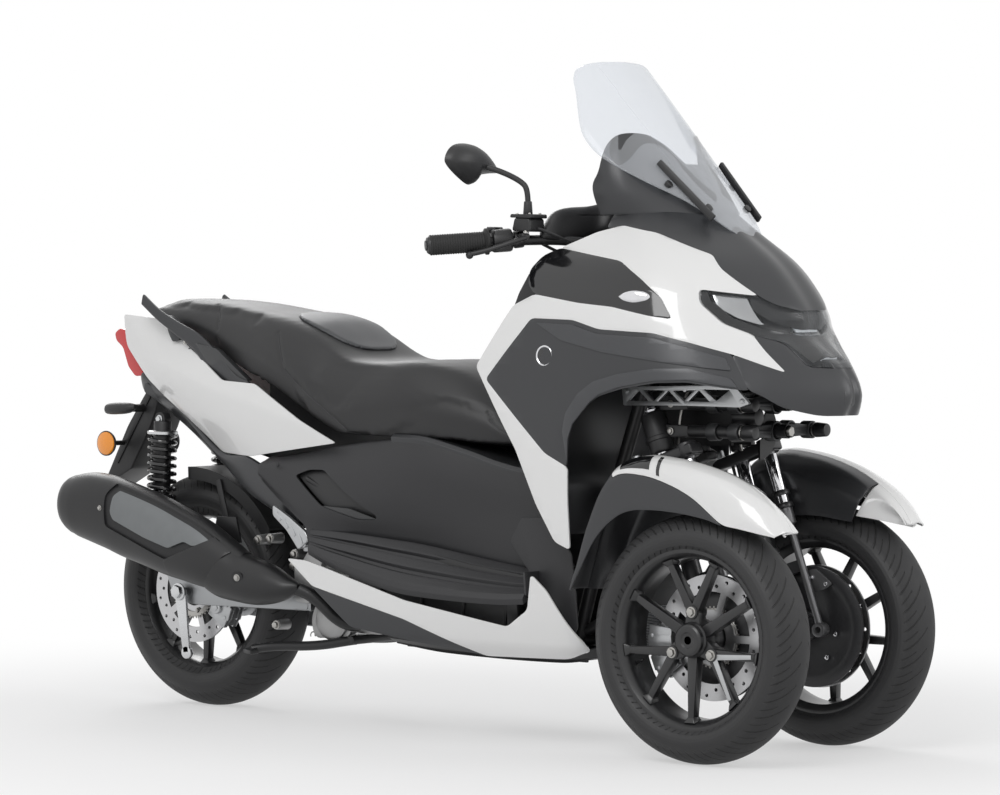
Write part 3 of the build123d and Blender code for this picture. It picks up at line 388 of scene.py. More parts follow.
def tyreRubber(name, centre, radius, half):
    # moulded sidewall rings, a matt tread with slanted sipes and a worn middle; the sipes are also darkened,
    # which is painted shade in the grooves
    made = Finish(name, (0.020, 0.020, 0.021), 0.62)
    x, y, z = made.axes(centre)
    reach = (x * x + z * z).maths("SQRT")
    angle = z.maths("ARCTAN2", x)
    across = y.maths("ABSOLUTE") / (half * mm)
    side = across.between(0.80, 0.90)
    slant = angle * 18 / math.pi + across * 1.7
    near = (slant.maths("FRACT") - 0.5).maths("ABSOLUTE")
    sipe = (1 - near.between(0.030, 0.065)) * across.between(0.16, 0.20) * (1 - across.between(0.82, 0.88))
    short = ((slant * 2 + 0.5).maths("FRACT") - 0.5).maths("ABSOLUTE")
    nick = (1 - short.between(0.05, 0.10)) * across.between(0.55, 0.6) * (1 - across.between(0.86, 0.92))
    grooveAndPaintedShade = sipe.maths("MAXIMUM", nick * 0.8)
    rings = ((reach * 900).maths("SINE") * 0.5 + 0.5) * side * (reach < (radius - 24) * mm)
    tread = 1 - grooveAndPaintedShade
    # painted shade: the groove mask darkens the tread's colour in the sipes
    made.put("Base Color", made.mix(grooveAndPaintedShade, (0.022, 0.022, 0.023), (0.006, 0.006, 0.006)))
    made.put("Roughness", 0.60 + made.noise(30, 3) * 0.14 - side * 0.14)
    made.bump(tread + rings * 0.05 + made.noise(1600, 2) * 0.02, 1.0, 3.0)
    return made.material


def brushed(name, color, rough, centre):
    # fine rings left by turning or by the pads
    made = Finish(name, color, rough, 1.0)
    x, y, z = made.axes(centre)
    reach = (x * x + z * z).maths("SQRT")
    rings = made.node("ShaderNodeTexNoise", {"noise_dimensions": "1D"},
        {"W": reach * 1.0, "Scale": 2600.0, "Detail": 3.0})
    made.put("Base Color", made.mix(rings, [c * 0.72 for c in color], color))
    made.put("Roughness", rough + rings * 0.16)
    return made.bump(rings, 0.25, 0.06).material


def clearPlastic(name, tint, rough=0.02, body=0.22, clear=0.35):
    # thin clear sheet: mostly see-through, with a sheen of its own and slightly tinted
    made = Finish(name, tint, rough, Specular_IOR_Level=0.6)
    film = made.tree.nodes.new("ShaderNodeBsdfTransparent")
    film.inputs[0].default_value = (*[clear + (1 - clear) * c for c in tint], 1)
    blend = made.tree.nodes.new("ShaderNodeMixShader")
    rim = made.node("ShaderNodeLayerWeight", {}, {"Blend": 0.32}, 1)
    haze = made.noise(9, 3)
    made.put(0, body + rim * 0.42 + haze * 0.03, blend)
    made.tree.links.new(film.outputs[0], blend.inputs[1])
    made.tree.links.new(made.shader.outputs[0], blend.inputs[2])
    made.tree.links.new(blend.outputs[0], made.tree.nodes["Material Output"].inputs[0])
    return made.material


pearlWhite = pearlPaint()
darkSatin = satinPaint()
sideGrain = grainedPlastic("sideGrain", (0.022, 0.022, 0.024), 0.52)
blackPlastic = plastic("blackPlastic", (0.018, 0.018, 0.019), 0.46)
glossBlack = plastic("glossBlack", (0.008, 0.008, 0.009), 0.10, (200, 0.02, 0.02), Coat_Weight=0.6,
    Coat_Roughness=0.03)
wheelPaint = plastic("wheelPaint", (0.012, 0.012, 0.013), 0.36, (600, 0.1, 0.03), Coat_Weight=0.3,
    Coat_Roughness=0.2)
framePaint = plastic("framePaint", (0.014, 0.014, 0.015), 0.42, (400, 0.1, 0.05))
forkPaint = plastic("forkPaint", (0.030, 0.030, 0.032), 0.34, (400, 0.1, 0.05))
castAlloy = metalOf("castAlloy", (0.42, 0.43, 0.44), 0.42, (260, 0.55, 0.18))
brightAlloy = metalOf("brightAlloy", (0.66, 0.67, 0.68), 0.28, (200, 0.15, 0.05))
silverPaint = metalOf("silverPaint", (0.52, 0.53, 0.54), 0.36, (700, 0.12, 0.03), 0.8, Coat_Weight=0.4)
chromed = metalOf("chromed", (0.80, 0.80, 0.82), 0.10, (120, 0.03, 0.02))
boltSteel = metalOf("boltSteel", (0.46, 0.45, 0.43), 0.33)
exhaustBlack = plastic("exhaustBlack", (0.013, 0.013, 0.014), 0.40, (500, 0.18, 0.05))
shieldGrey = plastic("shieldGrey", (0.035, 0.036, 0.038), 0.34, (500, 0.1, 0.04), Coat_Weight=0.3,
    Coat_Roughness=0.2)
gripRubber = plastic("gripRubber", (0.014, 0.014, 0.014), 0.72, (700, 0.4, 0.08))
clearScreen = clearPlastic("clearScreen", (0.86, 0.88, 0.91), 0.03, 0.16)
lensClear = clearPlastic("lensClear", (0.30, 0.31, 0.32), 0.02, 0.02, 0.86)
# the tail lamp's lens; on the plate base's low reflectors, which are no lamps, its glow is painted light
redGlow = plastic("redGlow", (0.42, 0.012, 0.014), 0.14, (150, 0.05, 0.05), Coat_Weight=0.8,
    Emission_Color=(0.6, 0.01, 0.01, 1), Emission_Strength=0.25)
# used for the amber side reflectors, which are no lamps: their glow is painted light
amberPaintedGlow = plastic("amberPaintedGlow", (0.72, 0.24, 0.01), 0.18, (150, 0.05, 0.05), Coat_Weight=0.8,
    Emission_Color=(0.9, 0.3, 0.0, 1), Emission_Strength=0.25)
lampWhite = plastic("lampWhite", (0.80, 0.83, 0.86), 0.20, (400, 0.1, 0.05), Emission_Color=(0.9, 0.95, 1, 1),
    Emission_Strength=0.4)
print("finishes ready")

# camera and light
camera = {
    "place": (5911.2, -7151.9, 1001.6),
    "target": (133.8, 0, 746.4),
    "roll": 0.176,
    "lens": 147.99,
}
studio = {
    "skyOnSurfaces": 0.46,
    "key": ((1800, -4800, 4600), 3.2, 150),
    "fill": ((5200, 1500, 2600), 2.6, 60),
    "rim": ((-3800, 2600, 3600), 2.4, 90),
    "floor": (0.80, 0.80, 0.805), "shadowReach": 2.6,
}


def aim(obj, place, target):
    obj.location = Vector(place) * mm
    obj.rotation_euler = (Vector(target) - Vector(place)).to_track_quat("-Z", "Y").to_euler()


def setStudio():
    bpy.ops.object.camera_add()
    shot = bpy.context.object
    aim(shot, camera["place"], camera["target"])
    shot.rotation_euler.rotate_axis("Z", math.radians(camera["roll"]))
    shot.data.lens = camera["lens"]
    shot.data.sensor_width = 36
    shot.data.clip_end = 100
    bpy.context.scene.camera = shot
    for name in ("key", "fill", "rim"):
        place, size, power = studio[name]
        bpy.ops.object.light_add(type="AREA")
        lamp = bpy.context.object
        lamp.name = name + "Light"
        lamp.data.size = size
        lamp.data.energy = power
        aim(lamp, place, (0, 0, 600))
    clean()
    bpy.ops.mesh.primitive_plane_add(size=60)
    floor = bpy.context.object
    floor.name = "studioFloor"
    made = Finish("floorPale", studio["floor"], 0.9)
    made.put("Roughness", 0.86 + made.noise(3) * 0.08)
    # the floor shows its shadow near the object and fades to the white backdrop further out
    x, y, z = made.axes((0, 0, 0))
    away = (x * x + y * y).maths("SQRT").between(studio["shadowReach"] * 0.42, studio["shadowReach"])
    ray = made.tree.nodes.new("ShaderNodeLightPath")
    seen = Wire(made, ray.outputs["Is Camera Ray"]).maths("MAXIMUM", Wire(made, ray.outputs["Is Glossy Ray"]))
    seen = seen.maths("MAXIMUM", Wire(made, ray.outputs["Is Transmission Ray"]))
    white = made.tree.nodes.new("ShaderNodeEmission")
    blend = made.tree.nodes.new("ShaderNodeMixShader")
    made.put(0, seen * (away * 0.5 + 0.5), blend)
    made.tree.links.new(made.shader.outputs[0], blend.inputs[1])
    made.tree.links.new(white.outputs[0], blend.inputs[2])
    made.tree.links.new(blend.outputs[0], made.tree.nodes["Material Output"].inputs[0])
    floor.data.materials.append(made.material)
    world = bpy.data.worlds.new("studioWorld")
    world.use_nodes = True
    tree = world.node_tree
    ray = tree.nodes.new("ShaderNodeLightPath")
    top = tree.nodes.new("ShaderNodeMath")
    top.operation = "MAXIMUM"
    tree.links.new(ray.outputs["Is Camera Ray"], top.inputs[0])
    most = tree.nodes.new("ShaderNodeMath")
    most.operation = "MAXIMUM"
    tree.links.new(ray.outputs["Is Glossy Ray"], top.inputs[1])
    tree.links.new(top.outputs[0], most.inputs[0])
    tree.links.new(ray.outputs["Is Transmission Ray"], most.inputs[1])
    span = tree.nodes.new("ShaderNodeMapRange")
    tree.links.new(most.outputs[0], span.inputs[0])
    span.inputs[3].default_value = studio["skyOnSurfaces"]
    tree.links.new(span.outputs[0], tree.nodes["Background"].inputs[1])
    tree.nodes["Background"].inputs[0].default_value = (1, 1, 1, 1)
    bpy.context.scene.world = world
    bpy.context.scene.view_settings.view_transform = "Standard"


setStudio()
print("studio ready")

# every carried-over node gets its slot's finish
slotFinish = {
    "white_paint": pearlWhite, "grey_satin": darkSatin, "black_plastic": blackPlastic,
    "black_gloss": glossBlack,
    "wheel_black": wheelPaint, "caliper_paint": silverPaint, "cast_alloy": castAlloy,
    "bright_alloy": brightAlloy,
    "fork_metal": forkPaint, "clear_screen": clearScreen, "lamp_lens": lensClear, "lamp_metal": brightAlloy,
    "red_lens": redGlow, "frame_black": framePaint, "grip_rubber": gripRubber, "exhaust_black": exhaustBlack,
    "heat_shield": shieldGrey, "spring_steel": framePaint, "board_rubber": gripRubber,
    "seat_cover": sideGrain,
    "tyre_rubber": gripRubber, "brake_steel": brightAlloy,
}
slotOf = {entry["node"]: entry["material_slot"] for entry in frame["record"]["subparts"]}
for name, node in frame["nodes"].items():
    node.data.materials.clear()
    node.data.materials.append(slotFinish[slotOf[name]])
wheels = {
    "front_left": ((865, 235, 262), 262, 60, "wheel_front_left"),
    "front_right": ((865, -235, 262), 262, 60, "wheel_front_right"),
    "rear": ((-730, 0, 276), 276, 70, "wheel_rear"),
}
for name, (centre, radius, half, body) in wheels.items():
    disc = frame["nodes"]["disc_" + name]
    disc.data.materials[0] = brushed("disc_" + name, (0.62, 0.62, 0.63), 0.26, centre)
    frame["nodes"]["tyre_" + name].data.materials[0] = tyreRubber("tyre_" + name, centre, radius, half)


# body skin: smooth hulls through plan sections, parted by side outlines
def through(values, places, at):
    # smooth value at a place, through given values at uneven places
    for k in range(len(places) - 1):
        if at <= places[k + 1] or k == len(places) - 2:
            break
    span = places[k + 1] - places[k]
    t = (at - places[k]) / span
    rise = (values[k + 1] - values[k]) / span
    left = rise if k == 0 else (values[k + 1] - values[k - 1]) / (places[k + 1] - places[k - 1])
    right = rise if k + 2 == len(places) else (values[k + 2] - values[k]) / (places[k + 2] - places[k])
    a = values[k] * (2 * t ** 3 - 3 * t ** 2 + 1) + values[k + 1] * (3 * t ** 2 - 2 * t ** 3)
    return a + span * (left * (t ** 3 - 2 * t ** 2 + t) + right * (t ** 3 - t ** 2))


def sheetFrom(name, place, across, along):
    # a grid whose every vertex goes where place(u, v) says, u and v from 0 to 1
    clean()
    bpy.ops.mesh.primitive_grid_add(x_subdivisions=across, y_subdivisions=along, size=2)
    obj = bpy.context.object
    obj.name = name
    for vertex in obj.data.vertices:
        vertex.co = Vector(place((vertex.co.x + 1) / 2, (vertex.co.y + 1) / 2)) * mm
    return obj


def planHull(name, rows, backX, wall=4.0, crown=0.0, across=88, along=64):
    # rows: z, then (x, half width) at the nose, the flank and the side
    heights = [row[0] for row in rows]
    columns = list(zip(*rows))

    def place(u, v):
        z = heights[0] + (heights[-1] - heights[0]) * v
        row = [through(column, heights, z) for column in columns[1:]]
        noseX, noseY, flankX, flankY, sideX, sideY = row
        points = [(backX, -sideY), (sideX, -sideY), (flankX, -flankY), (noseX, -noseY),
            (noseX + crown * noseY, 0)]
        points += [(x, -y) for x, y in reversed(points[:4])]
        steps = [0, 0.16, 0.30, 0.42, 0.5, 0.58, 0.70, 0.84, 1]
        return (through([p[0] for p in points], steps, u), through([p[1] for p in points], steps, u), z)

    hull = sheetFrom(name, place, across, along)
    flipped = hull.data.polygons[len(hull.data.polygons) // 2].normal
    if flipped.x * (rows[0][1] - backX) < 0:
        hull.data.flip_normals()
    return modify(hull, "SOLIDIFY", thickness=wall * mm, offset=-1, use_even_offset=True)


def panelOf(name, hull, outlines, gap=2.0, corner=9, wide=340, edge=1.1):
    parts = []
    for outline in outlines:
        tool = loopOf("tool", outline, lambda x, z: Vector((x, -wide, z)) * mm)
        if corner:
            roundCorners(tool, corner, 3)
        edit(tool)
        bpy.ops.mesh.inset(thickness=gap / 2 * mm)
        bpy.ops.mesh.select_all(action="INVERT")
        bpy.ops.mesh.delete(type="FACE")
        clean()
        push(tool, (0, 2 * wide * mm, 0))
        piece = twin(hull, name)
        parts.append(cut(piece, tool, how="INTERSECT"))
    piece = join(parts, name)
    if edge:
        soften(piece, edge, 2, 50)
    return shade(piece, 32)


cowl = {
    # z, then x and half width at the nose, the flank and the side
    "rows": [
        (400, 900, 70, 800, 190, 620, 268), (560, 960, 70, 860, 200, 690, 280),
        (700, 1045, 50, 935, 195, 740, 288), (770, 1078, 34, 960, 180, 760, 289),
        (830, 1049, 36, 945, 170, 750, 288), (870, 1003, 46, 925, 170, 735, 286),
        (900, 974, 55, 908, 171, 727, 283), (930, 978, 57, 890, 172, 720, 280),
        (985, 944, 60, 850, 185, 690, 268), (1050, 885, 55, 790, 180, 640, 240),
        (1120, 790, 45, 690, 150, 590, 180),
        (1160, 740, 36, 660, 120, 560, 146),
    ],
    "fairing": [
        (483, 1078), (557, 1112), (614, 1126), (696, 1110), (820, 1063), (850, 1033), (922, 977),
        (831, 991), (840, 962), (882, 920), (933, 896), (958, 864), (1001, 817), (911, 856),
        (843, 879), (768, 899), (636, 906), (567, 925), (454, 928), (332, 796), (494, 641),
        (554, 613), (551, 542), (552, 436), (512, 452), (465, 530), (414, 645), (361, 730),
        (304, 823), (376, 923), (399, 955), (453, 979), (575, 961), (665, 953), (758, 934),
        (803, 928), (774, 972), (719, 1012), (656, 1050),
    ],
    "leg": [
        (454, 928), (332, 796), (494, 641), (554, 613), (551, 676), (565, 704), (614, 748),
        (641, 765), (698, 781), (781, 795), (849, 797), (921, 784), (952, 780),
        (911, 856), (843, 879), (768, 899), (636, 906), (567, 925),
    ],
    # raised bands on the leg shield: under the white, and along the wheel arch
    "brow": [(470, 918), (567, 915), (636, 896), (768, 889), (843, 869), (905, 848), (918, 822), (800, 838),
        (650, 858), (540, 882)],
    "arch": [(556, 622), (560, 672), (574, 706), (620, 752), (645, 769), (700, 786), (782, 800), (850, 802),
        (935, 786),
             (920, 806), (850, 826), (778, 825), (690, 812), (630, 796), (590, 770), (556, 728), (546, 690)],
    # the black bar low in the lamps, the bright bowls and the middle light bars
    "lampBar": [(828, 992), (838, 962), (881, 919), (933, 895), (974, 880), (1026, 837), (1032, 850),
        (984, 893), (938, 909), (890, 932), (852, 968), (840, 993)],
    "bowl": [(848, 982), (900, 974), (916, 945), (936, 915), (896, 931), (862, 954)],
    "lights": [(927, 20, 44), (898, 18, 40), (870, 15, 35), (847, 12, 28)],
    "eyeDark": [(900, 986), (912, 950), (948, 920), (982, 900), (1000, 905), (990, 930), (975, 975)],
    "window": [
        (483, 1078), (656, 1050), (719, 1012), (774, 972), (803, 928), (758, 934), (665, 953),
        (575, 961), (453, 979), (430, 1000), (425, 1031), (447, 1062),
    ],
    "noseTop": [
        (575, 1170), (575, 1119), (614, 1126), (696, 1110), (820, 1063), (850, 1033), (922, 977),
        (950, 958), (985, 945), (1130, 943), (1130, 1170),
    ],
    "beak": [
        (911, 856), (952, 780), (973, 770), (1005, 744), (1049, 727), (1130, 727), (1130, 820),
        (1026, 828), (974, 879), (933, 896), (958, 864), (1001, 817),
    ],
    "lamp": [
        (831, 991), (922, 977), (950, 958), (985, 945), (1130, 943), (1130, 822), (1026, 830),
        (974, 881), (933, 896), (882, 920), (840, 962),
    ],
}


def makeCowl():
    hull = planHull("cowlHull", cowl["rows"], 200, crown=0.10)
    done(panelOf("sideFairings", hull, [cowl["fairing"]]), "chassis", "white_paint", pearlWhite,
        "side_fairings")
    done(panelOf("legShields", hull, [cowl["leg"]]), "chassis", "grey_satin", darkSatin, "leg_shields")
    done(panelOf("sideWindows", hull, [cowl["window"]]), "chassis", "black_gloss", glossBlack,
        "indicator_panels")
    done(panelOf("noseCowl", hull, [cowl["noseTop"], cowl["beak"]]), "chassis", "grey_satin", darkSatin,
        "nose_cowl")
    done(panelOf("lampLens", hull, [cowl["lamp"]]), "chassis", "lamp_lens", lensClear, "headlamps")
    bpy.data.objects.remove(hull)
    proud = planHull("cowlHull", grown(cowl["rows"], 3), 200, crown=0.10)
    done(panelOf("legBands", proud, [cowl["brow"], cowl["arch"]], 0, 3, edge=2), "chassis", "grey_satin",
        bandPaintedHighlight)
    bpy.data.objects.remove(proud)
    inner = planHull("cowlHull", grown(cowl["rows"], -5), 200, crown=0.10)
    done(panelOf("lampRim", inner, [cowl["lampBar"]], 0, 3), "chassis", "black_gloss", glossBlack)
    bars = []
    for z, high, half in cowl["lights"]:
        front = through([row[1] for row in cowl["rows"]], [row[0] for row in cowl["rows"]], z) - 5
        band = slab("dayLight", [(front - 22, z - high / 2), (front, z - high / 2), (front, z + high / 2),
            (front - 22, z + high / 2)], -half, half, 3, 2, 2)
        for vertex in band.data.vertices:
            vertex.co.x -= 3.0 * vertex.co.y ** 2
        bars.append(band)
    done(join(bars, "dayLights"), "chassis", "lamp_metal", lampWhite)
    bpy.data.objects.remove(inner)
    inner = planHull("cowlHull", grown(cowl["rows"], -12), 200, crown=0.10)
    done(panelOf("lampBowls", inner, [cowl["bowl"]], 0, 6), "chassis", "lamp_metal", lampSilver)
    done(panelOf("lampBrows", inner, [cowl["eyeDark"]], 0, 6), "chassis", "black_gloss", lampDark)
    bpy.data.objects.remove(inner)
    inner = planHull("cowlHull", grown(cowl["rows"], -26), 200, crown=0.10)
    done(panelOf("lampPan", inner, [[(760, 1025), (760, 890), (880, 860), (960, 830), (1000, 800),
        (1130, 800), (1130, 980), (900, 1025)]], 0, 4), "chassis", "black_gloss", lampDark)
    bpy.data.objects.remove(inner)
    # proud middle of the beak, split from the cheeks by a gap
    beak = slab("beakMiddle", [(1030, 846), (1058, 838), (1077, 808), (1092, 772), (1089, 750), (1066, 727),
        (1030, 727), (1046, 760)], -33, 33, 6, 9, 4)
    for vertex in beak.data.vertices:
        vertex.co.x -= 6.0 * vertex.co.y ** 2
    done(beak, "chassis", "grey_satin", darkSatin)


def grown(rows, by):
    # the same hull, moved out or in along its skin
    return [(z, noseX + by, max(20, noseY + by * 0.3), flankX + by * 0.8, flankY + by * 0.6, sideX,
        sideY + by) for z, noseX, noseY, flankX, flankY, sideX, sideY in rows]


def folded(hull, line, above, below):
    # draws the skin inward above and below a fold line, so that the line becomes a ridge
    line = sorted(line)
    for vertex in hull.data.vertices:
        x, y, z = vertex.co / mm
        if abs(y) > 60:
            away = z - through([p[1] for p in line], [p[0] for p in line],
                min(max(x, line[0][0]), line[-1][0]))
            vertex.co.y -= math.copysign(min(away * above if away > 0 else -away * below, 26) * mm, y)
    return hull


# the leg shield's satin paint made 1.45 times lighter for its raised bands: painted highlight
bandPaintedHighlight = satinPaint("bandPaintedHighlight", 1.45)
lampSilver = metalOf("lampSilver", (0.72, 0.73, 0.74), 0.20, (120, 0.1, 0.05))
lampDark = plastic("lampDark", (0.030, 0.031, 0.033), 0.25, (300, 0.05, 0.03))
makeCowl()
print("front body done")

tail = {
    "fold": [(-980, 950), (-873, 879), (-786, 819), (-755, 813), (-545, 752), (-441, 728), (-300, 690),
        (-172, 650)],
    "rows": [
        (560, 560, 140, 380, 196, 200, 206), (640, 680, 118, 500, 186, 250, 204),
        (700, 790, 100, 600, 178, 300, 200), (780, 900, 85, 720, 160, 400, 190),
        (860, 975, 78, 800, 130, 500, 182), (930, 990, 66, 860, 108, 600, 172),
    ],
    "side": [
        (-945, 926), (-803, 914), (-709, 862), (-630, 822), (-548, 776), (-446, 770), (-366, 730),
        (-287, 691), (-172, 642), (-460, 603), (-572, 609), (-700, 690), (-850, 775), (-930, 850),
    ],
}
sill = {
    "rows": [
        (185, 540, 150, 440, 215, 0, 225), (230, 548, 180, 440, 240, 0, 248),
        (400, 500, 205, 430, 262, 0, 252),
    ],
    "side": [
        (-276, 381), (-218, 378), (69, 304), (361, 261), (418, 300), (432, 378), (469, 344), (534, 236),
        (542, 214), (500, 196), (286, 192), (68, 262), (-200, 322),
    ],
    "trim": [(-200, 320), (-88, 236), (104, 212), (260, 196), (286, 192), (68, 262)],
}


def makeTailAndSills():
    hull = planHull("tailHull", tail["rows"], 100)
    moved(hull, Matrix.Rotation(math.pi, 4, "Z"))
    folded(hull, tail["fold"], 0.34, 0.12)
    done(panelOf("tailSides", hull, [tail["side"]]), "chassis", "white_paint", pearlWhite, "tail_sides")
    bpy.data.objects.remove(hull)
    hull = planHull("sillHull", sill["rows"], -320)
    done(panelOf("sillFairings", hull, [sill["side"]]), "chassis", "white_paint", pearlWhite, "sill_fairings")
    done(panelOf("sillTrims", hull, [sill["trim"]]), "chassis", "grey_satin", darkSatin, "sill_trims")
    bpy.data.objects.remove(hull)


makeTailAndSills()
print("tail and sills done")

mudguard = {
    "centre": (865, 262),
    "wall": 3.5,
    # angle from straight ahead, then distances from the axle: skirt's low edge, seam, ridge, inner wall's
    # foot
    "rows": [
        (163, 309, 315, 319, 300), (151, 303, 318, 326, 262), (136, 308, 345, 354, 256),
        (124, 306, 376, 388, 253), (117, 298, 381, 405, 251), (108, 282, 358, 400, 247),
        (97, 268, 326, 379, 242),
        (86, 261, 298, 363, 241), (76, 260, 274, 353, 243), (68, 261, 264, 346, 250),
        (60, 272, 274, 339, 262),
        (52, 288, 290, 331, 284), (46, 306, 308, 322, 306),
    ],
    "outerY": 300, "ridgeY": 258, "innerY": 168, "capBack": 119, "capFront": 66,
}


def mudguardSheet(name, side, points, span, across=26, along=90, wall=0):
    # points(row) gives the cross section from outside to inside as (y, distance from the axle)
    angles = [row[0] for row in mudguard["rows"]][::-1]
    columns = list(zip(*mudguard["rows"][::-1]))
    midX, midZ = mudguard["centre"]

    def place(u, v):
        turn = span[0] + (span[1] - span[0]) * v
        section = points([through(column, angles, turn) for column in columns], turn)
        steps = [k / (len(section) - 1) for k in range(len(section))]
        y = through([p[0] for p in section], steps, u)
        r = through([p[1] for p in section], steps, u)
        return (midX + r * math.cos(math.radians(turn)), side * y, midZ + r * math.sin(math.radians(turn)))

    sheet = sheetFrom(name, place, across, along)
    middle = sheet.data.polygons[len(sheet.data.polygons) // 2]
    away = middle.center - Vector((midX, side * 200, midZ)) * mm
    if middle.normal.dot(away) < 0:
        sheet.data.flip_normals()
    modify(sheet, "SOLIDIFY", thickness=(wall or mudguard["wall"]) * mm, offset=-1, use_even_offset=True)
    if not wall:
        soften(sheet, 0.9, 2, 60)
    return shade(sheet, 40)


def makeMudguard(side, name):
    outer, ridgeY, inner = mudguard["outerY"], mudguard["ridgeY"], mudguard["innerY"]
    front = mudguard["capFront"]

    def nose(turn):
        # how far the front has drawn in to its tip
        return max(0.0, min(1.0, (66 - turn) / 20)) ** 1.5

    def capSection(row, turn):
        angle, low, seam, ridge, foot = row
        draw = nose(turn) * 22
        crest = ridgeY - max(0.0, min(1.0, (100 - turn) / 30)) * 14
        return [(outer - draw, seam), (outer - 4 - draw, seam + (ridge - seam) * 0.42),
                (outer - 20 - draw, seam + (ridge - seam) * 0.84), (crest, ridge), (crest - 24, ridge - 3)]

    def noseSection(row, turn):
        # inner half of the white tip, down to its lower edge
        angle, low, seam, ridge, foot = row
        crest = ridgeY - 14
        fall = ridge - seam
        edge = inner + 8 + nose(turn) * 60
        return [(crest - 25, ridge - 3.2), (crest - 44, ridge - 3.2 - fall * 0.16),
            (edge + 8, seam + fall * 0.42), (edge, seam + 2)]

    def skirtSection(row, turn):
        angle, low, seam, ridge, foot = row
        return [(outer, low), (outer, low + (seam - low) * 0.5), (outer - 1, seam - 1.5)]

    def rearSection(row, turn):
        angle, low, seam, ridge, foot = row
        return [(outer - 1, seam - 1.5), (outer - 8, seam + (ridge - seam) * 0.5),
            (outer - 24, seam + (ridge - seam) * 0.9),
                (ridgeY, ridge), (ridgeY - 24, ridge - 3)]

    def innerSection(row, turn):
        angle, low, seam, ridge, foot = row
        crest = ridgeY - max(0.0, min(1.0, (100 - turn) / 30)) * 14
        wallTop = max(ridge - 62, (ridge + foot) / 2)
        return [(crest - 25, ridge - 3.5), (crest - 52, ridge - 12), (inner + 12, (ridge - 12 + wallTop) / 2),
            (inner + 1, wallTop), (inner, foot)]

    cap = join([
        mudguardSheet(name + "Cap", side, capSection, (46, mudguard["capBack"])),
        mudguardSheet(name + "Nose", side, noseSection, (46, front), 16, 30),
    ], name + "Cap")
    parts = [
        mudguardSheet(name + "Skirt", side, skirtSection, (69, 163), 6),
        mudguardSheet(name + "Rear", side, rearSection, (mudguard["capBack"] + 0.4, 163), 14, 40),
        mudguardSheet(name + "Inner", side, innerSection, (front + 0.4, 163)),
    ]
    body = "fork_left" if side > 0 else "fork_right"
    word = body[5:]
    done(cap, body, "white_paint", pearlWhite, "mudguard_cap_" + word)
    done(join(parts, name + "Skirt"), body, "grey_satin", darkSatin, "mudguard_" + word)
    # dark plate with a white border at the cap's rear top, and a thin line ahead of it: words are left off

    def decal(label, fromTurn, toTurn, fromShare, toShare, lift):
        def plate(row, turn):
            section = capSection(row, turn)
            steps = [k / 4 for k in range(5)]
            shares = [fromShare + (toShare - fromShare) * k / 4 for k in range(5)]
            return [(through([p[0] for p in section], steps, at) + lift * 0.8,
                through([p[1] for p in section], steps, at) + lift) for at in shares]
        return mudguardSheet(label, side, plate, (fromTurn, toTurn), 10, 16, wall=0.5)

    marks = [decal(name + "Badge", 104.5, 115.5, 0.20, 0.62, 0.7),
        decal(name + "Line", 100.6, 101.8, 0.10, 0.62, 0.7)]
    done(join(marks, name + "Marks"), body, "black_gloss", glossBlack)


makeMudguard(1, "mudguardLeft")
makeMudguard(-1, "mudguardRight")
print("mudguards done")


def strut(name, start, end, up, widths, depths, edge=1.5):
    # tapered bar between two points: widths square to up, depths along it, each at start and end
    a, b, lift = Vector(start), Vector(end), Vector(up).normalized()
    line = (b - a).normalized()
    lift = (lift - line * lift.dot(line)).normalized()
    side = line.cross(lift)
    clean()
    bpy.ops.mesh.primitive_cube_add(size=2)
    obj = bpy.context.object
    obj.name = name
    for vertex in obj.data.vertices:
        far = vertex.co.x > 0
        place = (b if far else a) + side * (vertex.co.y * widths[far] / 2) + lift * (vertex.co.z
            * depths[far] / 2)
        vertex.co = place * mm
    outward(obj)
    if edge:
        soften(obj, edge, 2)
    return shade(obj)


def nut(name, place, axis, across, height, sides=6):
    # hexagon head with a turned washer face and a domed top
    head = bar(name, place, Vector(place) + Vector(axis) * height, across / 2 * 1.1, across / 2 * 1.02, sides,
        0.7)
    collar = bar(name, place, Vector(place) + Vector(axis) * height * 0.3, across / 2 * 1.35, None, 24, 0.4)
    return join([head, collar], name)


wheelMake = {
    "spokeStep": 40, "boltCircle": 58, "spokeNear": 22, "spokeFar": 15, "lugRadius": 17,
    "front": {"rim": 190, "half": 48, "hubIn": -47, "hubOut": 47, "cap": 34},
    "rear": {"rim": 192, "half": 54, "hubIn": -52, "hubOut": 60, "cap": 30},
    "paintedGlint": 0.9,
}


def crownProfile(radius, half, rim, steps=22):
    # outside of a scooter tyre: bead, sidewall bulge and a round crown
    bulge = rim + 0.36 * (radius - rim)
    rise = radius - bulge
    arcR = (half * half + rise * rise) / (2 * rise)
    sweep = math.asin(min(1, half / arcR)) if rise < arcR else math.pi / 2
    points = []
    for k in range(steps + 1):
        turn = -sweep + 2 * sweep * k / steps
        points.append((arcR * math.sin(turn), radius - arcR + arcR * math.cos(turn)))
    wall = [(half - 0.4, bulge - 7), (half - 2.2, rim + 11), (half - 6, rim + 5.5), (half - 11, rim + 1.5),
        (half - 17, rim - 9)]
    left = [(-a, r) for a, r in wall[::-1]]
    return left + points + wall


def makeTyre(name):
    centre, radius, half, body = wheels[name]
    rim = wheelMake["rear" if name == "rear" else "front"]["rim"]
    outer = crownProfile(radius, half, rim)
    obj = lathe("tyreTread_" + name, outer + [(half - 19, rim - 9), (-half + 19, rim - 9)], centre, steps=144)
    finish = frame["nodes"]["tyre_" + name].data.materials[0]
    return done(obj, body, "tyre_rubber", finish, "tyre_" + name)


